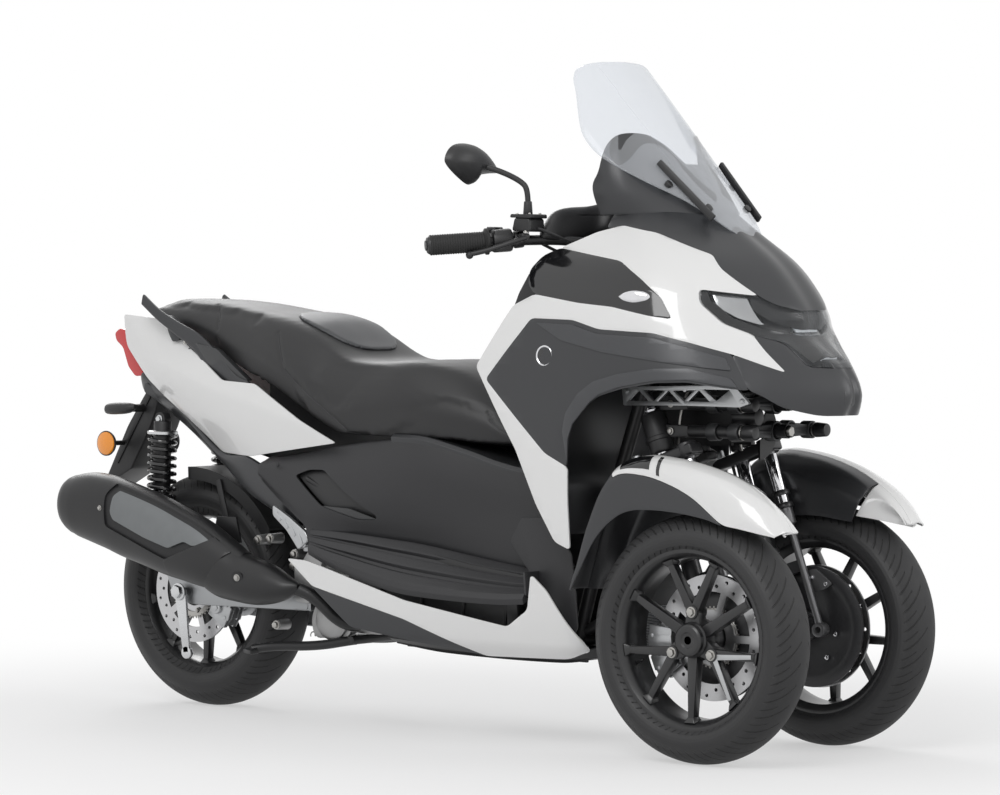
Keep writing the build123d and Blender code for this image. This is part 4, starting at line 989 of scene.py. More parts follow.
def makeRim(name, face):
    # face is the side of the spokes' flat front: -1 right, 1 left
    centre, radius, half, body = wheels[name]
    size = wheelMake["rear" if name == "rear" else "front"]
    rim, lip = size["rim"], size["half"]
    out = Vector((0, face, 0))
    mid = Vector(centre)
    barrel = [(-lip, rim - 1), (-lip + 1, rim + 2), (-lip + 3, rim + 1), (-lip + 6, rim - 10),
        (lip - 6, rim - 10), (lip - 3, rim + 1),
              (lip - 1, rim + 2), (lip, rim - 1), (lip - 1, rim - 8), (lip - 5, rim - 12),
              (lip - 14, rim - 19), (lip - 22, rim - 21),
              (4, rim - 23), (-lip + 12, rim - 20), (-lip + 2, rim - 8)]
    parts = [lathe("rim", barrel, mid, out, steps=120)]
    hub = [(size["hubIn"], 12), (size["hubIn"], 30), (size["hubIn"] + 12, 34), (-12, 36), (-4, 44), (14, 46),
        (20, 40), (30, 37),
           (size["hubOut"] - 8, 34), (size["hubOut"] - 8, 12)]
    parts.append(lathe("hub", hub, mid, out, steps=64, edge=0.8))

    def at(angle, reach, height):
        return mid + Vector((math.cos(math.radians(angle)) * reach, 0,
            math.sin(math.radians(angle)) * reach)) + out * height

    paintedGlints = []
    for k in range(9):
        turn = 30 + wheelMake["spokeStep"] * k
        pair = (k % 3) - 1  # -1 single, 0 and 1 the arms of a V
        if pair == -1:
            parts.append(strut("spoke", at(turn, 30, 20), at(turn, rim - 19, 27), out,
                (26, wheelMake["spokeFar"]), (24, 20), 2.5))
        else:
            lug = turn + (20 if pair == 0 else -20)
            parts.append(strut("spoke", at(lug, 54, 22), at(turn, rim - 19, 27), out,
                (wheelMake["spokeNear"], wheelMake["spokeFar"]), (22, 20), 2.5))
            # painted highlight: a silver strip on the front right wheel's spokes at one angle only, where
            # their edge catches the light
            if name == "front_right" and 300 < lug % 360 < 350:
                paintedGlints.append(strut("paintedGlint", at(lug, 66, 33.8), at(turn, rim - 34, 37.4), out, (12, 9),
                    (1.2, 1.2), 0.4))
        parts.append(strut("spokeFoot", at(turn, rim - 30, 26), at(turn, rim - 17, 26), out, (16, 30),
            (20, 34), 3))
    bolts = []
    for lug in (90, 210, 330):
        parts.append(bar("lug", at(lug, wheelMake["boltCircle"], 2), at(lug, wheelMake["boltCircle"], 36),
            wheelMake["lugRadius"], 15, 28, 2))
        parts.append(strut("lugArm", at(lug, 20, 18), at(lug, 60, 20), out, (44, 30), (26, 26), 3))
        bolts.append(nut("lugBolt", at(lug, wheelMake["boltCircle"], 35), out, 17, 8))
    cap = [(30, 0), (30, 37), (34, 38), (38, size["cap"]), (size["hubOut"], size["cap"]),
        (size["hubOut"] + 4, size["cap"] - 5),
           (size["hubOut"] + 4, 17), (size["hubOut"] + 1, 15), (size["hubOut"] + 1, 0)]
    parts.append(lathe("hubCap", cap, mid, out, steps=56, edge=0.8))
    valve = bar("valve", at(200, rim - 22, 12), at(200, rim - 46, 20), 4, 3, 14, 0.5)
    parts.append(valve)
    done(join(parts, "rimCast_" + name), body, "wheel_black", wheelPaint, "rim_" + name)
    done(join(bolts, "rimBolts_" + name), body, "bright_alloy", boltSteel)
    if paintedGlints:
        done(join(paintedGlints, "spokePaintedGlint"), body, "bright_alloy", silverPaint)


def makeDiscs():
    # slotted sensor rings and black carriers on the drilled discs
    for name, face, inner, at in (("front_left", -1, 36, 44), ("front_right", 1, 36, 44),
            ("rear", -1, 34, 78)):
        centre, radius, half, body = wheels[name]
        mid = Vector(centre)
        out = Vector((0, face, 0))
        ring = lathe("sensorRing_" + name, [(at, 50), (at, 62), (at + 2, 62), (at + 2, 50)], mid, out,
            steps=80)
        tooth = strut("tooth", mid + out * (at + 1) + Vector((60, 0, 0)),
            mid + out * (at + 1) + Vector((66, 0, 0)), out, (3, 3), (2, 2), 0)
        teeth = around(tooth, 40, centre)
        done(join([ring, teeth], "sensorRing_" + name), body, "brake_steel", boltSteel)
        studs = nut("stud", mid + out * (at + 0.5) + Vector((48, 0, 0)), out, 10, 5)
        done(around(studs, 5, centre), body, "bright_alloy", boltSteel)


def makeCaliper(name, body, centre, face, angle, spread, discY, discR, node):
    # two halves over the disc, pistons, bridge pins and a banjo bolt
    mid = Vector(centre) + Vector((0, face * discY, 0))
    out = Vector((0, face, 0))

    def at(turn, reach, height):
        return mid + Vector((math.cos(math.radians(turn)) * reach, 0,
            math.sin(math.radians(turn)) * reach)) + out * height

    parts = []
    for k in range(5):
        turn = angle - spread / 2 + spread * k / 4
        big = 1.0 if k in (1, 3) else 0.86
        for depth in (17, -15):
            parts.append(strut("half", at(turn, discR - 42, depth), at(turn, discR + 20 * big, depth), out,
                (26, 34), (17 * big, 15), 3))
        parts.append(strut("bridge", at(turn, discR + 7, 0), at(turn, discR + 19 * big, 0), out, (26, 26),
            (42, 38), 3))
    for turn in (angle - spread * 0.22, angle + spread * 0.22):
        parts.append(bar("piston", at(turn, discR - 20, 18), at(turn, discR - 20, 33), 16, 14, 32, 1.5))
        parts.append(bar("pistonCap", at(turn, discR - 20, 30), at(turn, discR - 20, 35), 9, 8, 6, 0.6))
    parts.append(bar("pin", at(angle - spread * 0.42, discR + 9, -24),
        at(angle - spread * 0.42, discR + 9, 26), 5, None, 16))
    parts.append(bar("pin", at(angle + spread * 0.42, discR + 9, -24),
        at(angle + spread * 0.42, discR + 9, 26), 5, None, 16))
    parts.append(nut("banjo", at(angle, discR + 6, 20), out, 12, 9))
    return done(join(parts, name), body, "caliper_paint", silverPaint, node)


for name, face in (("front_left", 1), ("front_right", -1), ("rear", -1)):
    makeTyre(name)
    makeRim(name, face)
makeDiscs()
makeCaliper("caliperLeft", "fork_left", (865, 235, 262), -1, 195, 34, 40, 133, "caliper_front_left")
makeCaliper("caliperRight", "fork_right", (865, -235, 262), 1, 195, 34, 40, 133, "caliper_front_right")
makeCaliper("caliperRear", "chassis", (-730, 0, 276), -1, -12, 34, 74, 122, "caliper_rear")
print("wheels and brakes done")


def sectionSkin(name, rows, ring, across=48, along=60, sharp=False, closed=True):
    # rows start with x; ring(row) gives (y, z) points round the section; the skin runs smoothly through them
    rows = sorted(rows)
    places = [row[0] for row in rows]
    columns = list(zip(*rows))

    def place(u, v):
        x = places[0] + (places[-1] - places[0]) * v
        section = ring([through(column, places, x) for column in columns])
        steps = [k / (len(section) - 1) for k in range(len(section))]
        if sharp:
            k = min(int(u * (len(section) - 1)), len(section) - 2)
            t = u * (len(section) - 1) - k
            y = section[k][0] * (1 - t) + section[k + 1][0] * t
            z = section[k][1] * (1 - t) + section[k + 1][1] * t
        else:
            y = through([p[0] for p in section], steps, u)
            z = through([p[1] for p in section], steps, u)
        return (x, y, z)

    skin = sheetFrom(name, place, across, along)
    if closed:
        edit(skin)
        bpy.ops.mesh.remove_doubles(threshold=0.00005)
        bpy.ops.mesh.select_all(action="DESELECT")
        bpy.ops.mesh.select_non_manifold()
        bpy.ops.mesh.fill_holes(sides=0)
        outward(skin)
    return skin


seatMake = {
    # x, then half widths and heights of the lower edge, the side and the shoulder, and the middle's height
    "rows": [
        (-880, 40, 924, 52, 930, 34, 938, 940), (-850, 62, 915, 76, 928, 52, 946, 950),
        (-780, 84, 893, 98, 915, 70, 950, 956),
        (-700, 100, 872, 112, 905, 84, 949, 955), (-620, 116, 843, 126, 888, 94, 943, 950),
        (-560, 130, 818, 138, 872, 102, 936, 943),
        (-470, 148, 785, 156, 846, 116, 922, 928), (-420, 156, 768, 166, 828, 122, 914, 922),
        (-373, 162, 748, 172, 812, 128, 902, 915),
        (-320, 168, 722, 177, 794, 132, 884, 901), (-281, 172, 702, 180, 780, 136, 864, 880),
        (-230, 174, 680, 181, 760, 140, 836, 847),
        (-182, 174, 664, 181, 744, 142, 819, 825), (-100, 173, 660, 180, 738, 142, 815, 818),
        (0, 172, 660, 177, 738, 138, 818, 822),
        (90, 160, 657, 166, 726, 118, 804, 810), (150, 146, 653, 152, 714, 104, 778, 786),
        (200, 132, 650, 138, 698, 92, 742, 752),
        (250, 116, 647, 122, 672, 80, 701, 708), (284, 100, 645, 104, 656, 68, 676, 681),
    ],
    "hollow": [(-470, 560), (-470, 800), (-330, 800), (-230, 760), (70, 760), (120, 700), (120, 560)],
    "hollowHalf": 144,
    "hingeCut": [(255, 600), (258, 668), (300, 645), (320, 632), (320, 600)],
    "voxel": 7.5, "pressure": 4.0, "cap": 7.0,
    # seams down the sides as (x, z)
    "seams": [
        [(-400, 900), (-361, 805), (-312, 769), (-251, 732), (-191, 693), (-137, 650)],
        [(-640, 950), (-612, 902), (-598, 873), (-579, 835)],
        [(232, 735), (272, 700), (296, 662)],
    ],
    "padBack": -412, "padFront": -214, "padHalf": 112,
}


def seatRing(row):
    x, lowY, lowZ, midY, midZ, topY, topZ, crown = row
    half = [(lowY * 0.5, lowZ + 1), (lowY - 3, lowZ), (lowY, lowZ + 3),
        ((lowY + midY) / 2 + 1, (lowZ + midZ) / 2), (midY, midZ),
            ((midY + topY) / 2 + 5, (midZ + topZ) / 2 + 4), (topY, topZ - 2),
            (topY * 0.72, (topZ + crown) / 2 + 2), (topY * 0.34, crown)]
    return [(0, lowZ + 1)] + half + [(0, crown + 0.5)] + [(-y, z) for y, z in half[::-1]] + [(0, lowZ + 1)]


def puffed(piece, voxel, pressure, cap):
    # the cover is blown up a little over its foam, as stretched vinyl is
    foam = bvhtree.BVHTree.FromObject(piece, bpy.context.evaluated_depsgraph_get())
    modify(piece, "REMESH", mode="VOXEL", voxel_size=voxel * mm, adaptivity=0)
    modify(piece, "SMOOTH", factor=0.5, iterations=4)
    rest = [(vertex.co.copy(), vertex.normal.copy()) for vertex in piece.data.vertices]
    only(piece)
    cloth = piece.modifiers.new("Cloth", "CLOTH")
    cloth.settings.quality = 5
    cloth.settings.mass = 0.4
    cloth.settings.tension_stiffness = 25
    cloth.settings.compression_stiffness = 25
    cloth.settings.bending_stiffness = 4
    cloth.settings.use_pressure = True
    cloth.settings.uniform_pressure_force = pressure
    cloth.settings.effector_weights.gravity = 0
    cloth.point_cache.frame_start, cloth.point_cache.frame_end = 1, 20
    for step in range(1, 21):
        bpy.context.scene.frame_set(step)
    bpy.ops.object.modifier_apply(modifier=cloth.name)
    for vertex, (start, normal) in zip(piece.data.vertices, rest):
        # the foam keeps the cover from sinking in, and its threads from rising too far
        rise = (vertex.co - start).dot(normal)
        vertex.co = start + normal * min(max(rise, 0), cap * mm)
        place, outside, face, gap = foam.find_nearest(vertex.co)
        if (vertex.co - place).dot(outside) < 0:
            vertex.co = place
    bpy.context.scene.frame_set(1)
    modify(piece, "SUBSURF", levels=1, render_levels=1)
    return piece


def onto(target, points, lift=0.0):
    # nearest places on a piece, moved out along its surface
    found = []
    for point in points:
        hit, place, normal, face = target.closest_point_on_mesh(Vector(point) * mm)
        found.append(tuple((place + normal * lift * mm) / mm))
    return found


def seamLine(piece, points, name, depth=2.2, width=5.0, thread=0.8):
    # a sewn channel: the cover dips along the line, and a thread lies in it
    runs = []
    for first, second in zip(points, points[1:]):
        count = max(2, int((Vector(second) - Vector(first)).length / 6))
        runs += [tuple(Vector(first).lerp(Vector(second), k / count)) for k in range(count)]
    line = onto(piece, runs + [points[-1]])
    tree = kdtree.KDTree(len(line))
    for index, dot in enumerate(line):
        tree.insert(Vector(dot) * mm, index)
    tree.balance()
    for vertex in piece.data.vertices:
        near = tree.find(vertex.co)[2] / mm
        if near < width * 2:
            vertex.co -= vertex.normal * depth * mm * math.exp(-(near / width) ** 2)
    return tube(name, onto(piece, line[::2], 0.2), thread, sides=2)


def makeSeat():
    body = sectionSkin("seatPad", seatMake["rows"], seatRing, 72, 96)
    half = seatMake["hollowHalf"]
    cut(body, slab("tool", seatMake["hollow"], -half, half))
    cut(body, slab("tool", seatMake["hingeCut"], -26, 26))
    puffed(body, seatMake["voxel"], seatMake["pressure"], seatMake["cap"])
    for vertex in body.data.vertices:
        vertex.co.x = max(vertex.co.x, -0.884)
    threads = []
    for index, seam in enumerate(seatMake["seams"]):
        for side in (1, -1):
            across = 90 if index == 1 else 175
            threads.append(seamLine(body, [(x, side * across, z) for x, z in seam], "seatSeam"))
    shade(body, 60)
    done(body, "seat", "seat_cover", seatVinyl, "seat")
    done(join(threads, "seatThread"), "seat", "seat_cover", seatThread)
    # grey back rest set into the step
    back, front, wide = seatMake["padBack"], seatMake["padFront"], seatMake["padHalf"]

    def place(u, v):
        turn = (u * 2 - 1, v * 2 - 1)
        reach = max(abs(turn[0]), abs(turn[1]))
        stretch = reach / max(0.001, (abs(turn[0]) ** 3.2 + abs(turn[1]) ** 3.2) ** (1 / 3.2))
        x = (back + front) / 2 + turn[1] * stretch * (front - back) / 2
        narrow = 1 - 0.16 * max(0, turn[1]) - 0.06 * max(0, -turn[1])
        return (x, turn[0] * stretch * wide * narrow, 990)

    pad = sheetFrom("backRest", place, 46, 46)
    tree = bvhtree.BVHTree.FromObject(body, bpy.context.evaluated_depsgraph_get())
    for vertex in pad.data.vertices:
        hit, normal, face, gap = tree.ray_cast(vertex.co, Vector((0, 0, -1)))
        if hit:
            vertex.co = hit + normal * 1.2 * mm
    modify(pad, "SMOOTH", factor=0.5, iterations=3)
    if pad.data.polygons[10].normal.z < 0:
        pad.data.flip_normals()
    modify(pad, "SOLIDIFY", thickness=6 * mm, offset=0.2)
    soften(pad, 2.4, 3, 40)
    puffed(pad, 4.0, 2.0, 2.0)
    shade(pad, 60)
    done(pad, "seat", "seat_cover", restVinyl)


def vinyl(name, color, rough, size=520):
    # stretched cover: pebble grain, and gloss that varies with handling
    made = Finish(name, color, rough, Sheen_Weight=0.0)
    pebble = made.node("ShaderNodeTexVoronoi", {"feature": "DISTANCE_TO_EDGE"},
        {"Vector": made.place, "Scale": size})
    worn = made.noise(5, 4)
    made.put("Base Color", made.mix(worn, [c * 0.82 for c in color], [c * 1.2 for c in color]))
    made.put("Roughness", rough + (worn - 0.5) * 0.16)
    return made.bump(pebble.between(0, 0.2) + made.noise(60, 3) * 0.3, 0.22, 0.10).material


seatVinyl = vinyl("seatVinyl", (0.020, 0.020, 0.021), 0.50)
restVinyl = vinyl("restVinyl", (0.060, 0.062, 0.066), 0.44, 420)
seatThread = plastic("seatThread", (0.055, 0.055, 0.058), 0.7, (1500, 0.3, 0.05))
makeSeat()
print("seat done")

sides = {
    # x, tunnel foot y and z, waist y and z, shoulder y and z
    "rows": [
        (-410, 192, 552, 206, 574, 180, 596), (-330, 208, 498, 216, 548, 181, 606),
        (-230, 222, 448, 227, 520, 182, 622),
        (-160, 212, 444, 226, 520, 182, 632), (-100, 198, 440, 222, 522, 181, 640),
        (60, 166, 424, 192, 532, 180, 650),
        (200, 152, 400, 160, 502, 152, 625), (320, 150, 385, 150, 490, 132, 598),
        (410, 150, 376, 150, 480, 120, 588),
    ],
    "top": [(-428, 560), (-410, 606), (-104, 650), (14, 660), (174, 622), (250, 600), (341, 584), (420, 610),
        (420, 300), (-250, 300), (-250, 452)],
    "vent": [(-290, 566), (-252, 580), (-206, 581), (-50, 482), (-56, 473), (-100, 472), (-196, 500)],
    "lip": [(-197, 501), (-120, 497), (-52, 474), (-97, 470), (-166, 480)],
    # x, inner y and z, outer y and z of the foot board
    "boards": [
        (-232, 222, 446, 234, 400), (-170, 212, 444, 243, 379), (-100, 200, 438, 249, 360),
        (-20, 184, 430, 252, 340), (60, 170, 421, 253, 326),
        (200, 156, 398, 252, 318), (330, 153, 380, 250, 316), (398, 153, 374, 247, 320),
    ],
    # across the board: share of the way out, and how far it stands proud
    "steps": [(0, 0), (0.03, 7), (0.24, 9), (0.27, 1), (0.32, 0), (0.36, 9), (0.56, 10), (0.59, 2), (0.65, 1),
        (0.70, 8), (0.90, 9), (1.0, 3)],
}


def makeSides():
    parts = []
    vents, lips = [], []
    for side in (1, -1):
        def ring(row):
            x, footY, footZ, waistY, waistZ, topY, topZ = row
            bulge = (waistY * 2 - footY - topY) * 0.10
            return [(side * y, z) for y, z in ((footY - 4, footZ - 30), (footY, footZ),
                ((footY + waistY) / 2 + bulge, (footZ + waistZ) / 2), (waistY, waistZ),
                    ((waistY + topY) / 2 + 7, (waistZ + topZ) / 2 + 3), (topY, topZ), (topY - 16, topZ + 7))]
        skin = sectionSkin("sideCover", sides["rows"], ring, 40, 110, closed=False)
        thickened(skin, 4, (0, side, 0))
        cut(skin, flank("tool", sides["top"], side, 120, 260, 10), how="INTERSECT")
        # the vent is a slot with a raised rim, and a lip low in it
        plate = twin(skin, "ventLip")
        cut(skin, flank("tool", sides["vent"], side, 120, 260, 9))
        soften(skin, 1.4, 2, 45)
        parts.append(shade(skin, 34))
        floor = twin(plate, "ventFloor")
        cut(floor, flank("tool", sides["vent"], side, 120, 260, 9), how="INTERSECT")
        moved(floor, Matrix.Translation((0, -side * 13 * mm, 0)))
        vents.append(floor)
        cut(plate, flank("tool", sides["lip"], side, 120, 260, 5), how="INTERSECT")
        moved(plate, Matrix.Translation((0, -side * 3 * mm, 0)))
        lips.append(shade(plate, 34))
        vents.append(strut("ventRib", (-262, side * 205, 560), (-110, side * 205, 492), (0, side, 0), (10, 8),
            (8, 8), 2))
        parts.append(nut("coverScrew", (-345, side * 210, 588), (0.1, side, 0.1), 9, 3))
    done(join(parts, "sideCovers"), "chassis", "black_plastic", sideGrain, "body_covers")
    done(join(vents, "sideVents"), "chassis", "black_plastic", blackPlastic)
    done(join(lips, "ventLips"), "chassis", "grey_satin", shieldGrey)
    # the hinge pin and its two ears stay where the seat turns
    ears = [strut("ear", (296, side * 27, 596), (296, side * 27, 640), (0, 1, 0), (20, 18), (8, 8), 2)
        for side in (1, -1)]
    ears.append(bar("hingePin", (296, -34, 632), (296, 34, 632), 5))
    done(join(ears, "seatHinge"), "chassis", "black_plastic", boltSteel)
    boards = []
    for side in (1, -1):
        def stepped(row):
            x, inY, inZ, outY, outZ = row
            run = Vector((outY - inY, outZ - inZ, 0))
            proud = Vector((-run.y, run.x, 0)).normalized()
            taper = max(0.25, min(1.0, (x + 262) / 150))
            top = [Vector((inY, inZ, 0)) + run * share + proud * lift * taper
                for share, lift in sides["steps"]]
            under = [Vector((outY - 2, outZ - 10, 0)), Vector((inY + 2, inZ - 24, 0)), Vector((inY, inZ, 0))]
            return [(side * p.x, p.y) for p in top + under]
        board = sectionSkin("footBoard", sides["boards"], stepped, 14 * 4, 60, sharp=True)
        soften(board, 1.6, 2, 28)
        boards.append(shade(board, 40))
        boards.append(strut("toeRest", (404, side * 200, 330), (396, side * 200, 380), (1, 0, 0), (92, 84),
            (6, 6), 2))
    done(join(boards, "footBoards"), "chassis", "board_rubber", boardGrain, "floorboards")


boardGrain = grainedPlastic("boardGrain", (0.026, 0.026, 0.028), 0.50, 700)
makeSides()
print("side covers and foot boards done")

knee = {
    # z, then x and half width of the edge, and x of the middle
    "rows": [
        (460, 494, 244, 446), (560, 462, 262, 470), (640, 424, 268, 440), (730, 372, 272, 424),
        (823, 318, 270, 410),
        (923, 386, 262, 420), (980, 432, 250, 450), (1040, 466, 228, 478),
    ],
}


def makeKnee():
    heights = [row[0] for row in knee["rows"]]
    columns = list(zip(*knee["rows"]))

    def place(u, v):
        z = heights[0] + (heights[-1] - heights[0]) * v
        zed, edgeX, edgeY, midX = [through(column, heights, z) for column in columns]
        points = [(edgeX, -edgeY), ((edgeX + midX) / 2 - 3, -edgeY * 0.86), (midX - 9, -edgeY * 0.72),
            (midX - 2, -edgeY * 0.40), (midX, 0)]
        points += [(x, -y) for x, y in points[3::-1]]
        steps = [0, 0.1, 0.2, 0.34, 0.5, 0.66, 0.8, 0.9, 1]
        return (through([p[0] for p in points], steps, u), through([p[1] for p in points], steps, u), z)

    wall = sheetFrom("kneeShield", place, 72, 60)
    thickened(wall, 4, (-1, 0, 0))
    soften(wall, 1.2, 2, 50)
    parts = [shade(wall, 40)]
    # two glove boxes, the switch lock and a bag hook
    dark = []
    for side in (1, -1):
        lid = [(800, 64), (925, 70), (925, 180), (815, 196), (800, 180)]
        plate = loopOf("gloveLid", lid, lambda z, y: Vector((392, side * y, z)) * mm)
        roundCorners(plate, 12)
        push(plate, (4 * mm, 0, 0))
        soften(plate, 1.4, 2)
        fit = [through([row[3] for row in knee["rows"]], heights, 860)]
        moved(plate, Matrix.Translation(((fit[0] - 402) * mm, 0, 0)))
        parts.append(shade(plate))
        dark.append(strut("lidCatch", (fit[0] - 14, side * 118, 918), (fit[0] - 14, side * 140, 918),
            (1, 0, 0), (8, 8), (5, 5), 1.5))
    dark.append(bar("lockRing", (404, -60, 960), (420, -60, 958), 20, 22, 40, 1.5))
    dark.append(bar("lockKey", (396, -60, 960), (404, -60, 960), 9, 10, 24, 1))
    dark.append(tube("bagHook", [(432, 0, 760), (398, 0, 758), (392, 0, 735), (402, 0, 724)], 3.2))
    done(join(parts, "kneeShield"), "chassis", "grey_satin", darkSatin, "inner_shield")
    done(join(dark, "kneeFittings"), "chassis", "black_plastic", blackPlastic)


makeKnee()
print("knee shield done")

screen = {
    "low": (840, 1095), "high": (481, 1485), "radius": 210, "wall": 3.5,
    # height and half width of the clear sheet
    "edge": [(1090, 0), (1092, 20), (1104, 42), (1173, 101), (1218, 149), (1265, 180), (1310, 186),
        (1354, 178), (1413, 158), (1450, 143), (1472, 118), (1482, 70), (1484.5, 0)],
    "shroud": [(1150, 762, 36, 668, 126, 600, 158), (1200, 722, 44, 640, 140, 590, 176),
        (1270, 658, 50, 606, 142, 572, 170), (1330, 612, 44, 585, 112, 560, 140)],
    "shroudSide": [(540, 1140), (530, 1215), (548, 1240), (556, 1300), (570, 1322), (600, 1326), (632, 1300),
        (690, 1240), (740, 1190), (770, 1150)],
}


def makeScreen():
    lowX, lowZ = screen["low"]
    slope = (screen["high"][0] - lowX) / (screen["high"][1] - lowZ)
    radius = screen["radius"]

    def place(u, v):
        z = 1075 + 425 * v
        y = -196 + 392 * u
        flare = 8 * math.sin(math.pi * min(1, max(0, (z - 1250) / 240)) * 0.5)
        return (lowX + (z - lowZ) * slope - radius + math.sqrt(radius ** 2 - y ** 2) + flare - 8, y, z)

    sheet = sheetFrom("windScreen", place, 72, 72)
    thickened(sheet, screen["wall"], (1, 0, 0), even=False)
    heights, widths = zip(*screen["edge"])
    rise = [1090 + 394.5 * (1 - math.cos(math.pi * k / 60)) / 2 for k in range(61)]
    half = [(max(0, through(widths, heights, z)), z) for z in rise]
    tool = loopOf("tool", half + [(-y, z) for y, z in half[-2:0:-1]], lambda y, z: Vector((200, y, z)) * mm)
    push(tool, (900 * mm, 0, 0))
    cut(sheet, tool, how="INTERSECT")
    soften(sheet, 0.8, 2, 50)
    done(shade(sheet, 30), "chassis", "clear_screen", clearScreen, "windshield")
    hull = planHull("shroudHull", screen["shroud"], 530, 3, 0.08, 60, 30)
    shroud = panelOf("screenShroud", hull, [screen["shroudSide"]], 0, 12, 220, 1.0)
    bpy.data.objects.remove(hull)
    done(shroud, "chassis", "black_plastic", darkSatin, "screen_shroud")
    # screen holders, their rubber washers and the adjuster rail
    bits = []
    for side in (1, -1):
        for z in (1215, 1165):
            x = lowX + (z - lowZ) * slope
            wide = 118 if z == 1215 else 70
            x -= radius - math.sqrt(radius ** 2 - wide ** 2)
            bits.append(bar("screenBolt", (x - 10, side * wide, z - 6), (x - 1, side * wide, z + 1), 8, 9, 20,
                1.2))
        bits.append(strut("screenRail", (lowX + (1130 - lowZ) * slope - 26, side * 84, 1140),
            (lowX + (1245 - lowZ) * slope - 44, side * 112, 1262), (0, side, 0.3), (16, 14), (8, 8), 2))
    done(join(bits, "screenHolders"), "chassis", "black_plastic", blackPlastic)
    # instrument hood and display between the bars and the screen
    hood = sectionSkin("meterHood", [(556, 96, 1150, 88, 1205), (600, 104, 1140, 92, 1236),
        (640, 100, 1150, 84, 1252), (668, 70, 1180, 56, 1240)],
                       lambda row: [(0, row[2]), (row[1], row[2]), (row[1] * 1.02, (row[2] + row[4]) / 2),
                           (row[3], row[4]), (0, row[4] + 8), (-row[3], row[4]),
                                    (-row[1] * 1.02, (row[2] + row[4]) / 2), (-row[1], row[2]), (0, row[2])],
                                    40, 16)
    done(shade(hood, 40), "chassis", "black_plastic", blackPlastic)
    face = loopOf("meterFace", [(1152, 82), (1204, 78), (1210, 0), (1204, -78), (1152, -82)], lambda z,
        y: Vector((554 + (z - 1152) * 0.05, y, z)) * mm)
    roundCorners(face, 10)
    push(face, (-3 * mm, 0, 0))
    done(shade(outward(face)), "chassis", "black_gloss", glossBlack)


makeScreen()
print("screen and meter done")

silencer = {
    "y": -208,
    # x, middle height, half width and half height of the oval
    "can": [(-1012, 477, 34, 40), (-1009, 477, 42, 50), (-1002, 477, 51, 60), (-990, 476, 57, 67),
        (-982, 475, 59, 70), (-978, 475, 57, 68), (-972, 474, 61, 73),
            (-924, 470, 63, 83), (-870, 460, 64, 88), (-830, 449, 64, 90), (-760, 431, 64, 90),
            (-690, 411, 64, 89), (-630, 394, 62, 84),
            (-560, 374, 58, 77), (-500, 356, 50, 62), (-440, 336, 40, 48)],
    "cover": [(-560, 372, 59, 80), (-519, 356, 58, 77), (-453, 328, 52, 58), (-410, 319, 48, 52),
        (-367, 315, 42, 44), (-330, 311, 33, 31), (-309, 310, 25, 21), (-291, 313, 12, 10),
        (-283, 314, 5, 4)],
    "coverSide": [(-538, 300), (-477, 373), (-428, 392), (-390, 394), (-300, 360), (-246, 324), (-262, 292),
        (-321, 268), (-369, 256), (-485, 258)],
    "shield": [(-818, 503), (-804, 516), (-780, 522), (-744, 519), (-725, 508), (-600, 458), (-508, 412),
        (-560, 396), (-586, 406), (-632, 389), (-708, 411), (-806, 448), (-817, 465)],
    "pocket": [(-842, 505), (-826, 533), (-786, 545), (-700, 520), (-600, 484), (-478, 436), (-505, 404),
        (-648, 362), (-832, 432)],
    "sleeve": [(-652, 360), (-574, 388), (-523, 411), (-478, 444), (-425, 412), (-477, 376), (-536, 304),
        (-560, 290), (-652, 290)],
    "outlet": 18,
}


def ovalSkin(name, rows, grow=0.0, across=56, along=60):
    centre = silencer["y"]

    def ring(row):
        x, z, wide, tall = row
        turns = [2 * math.pi * k / 16 for k in range(17)]
        return [(centre + (wide + grow) * math.cos(t), z + (tall + grow) * math.sin(t)) for t in turns]

    return sectionSkin(name, rows, ring, across, along)


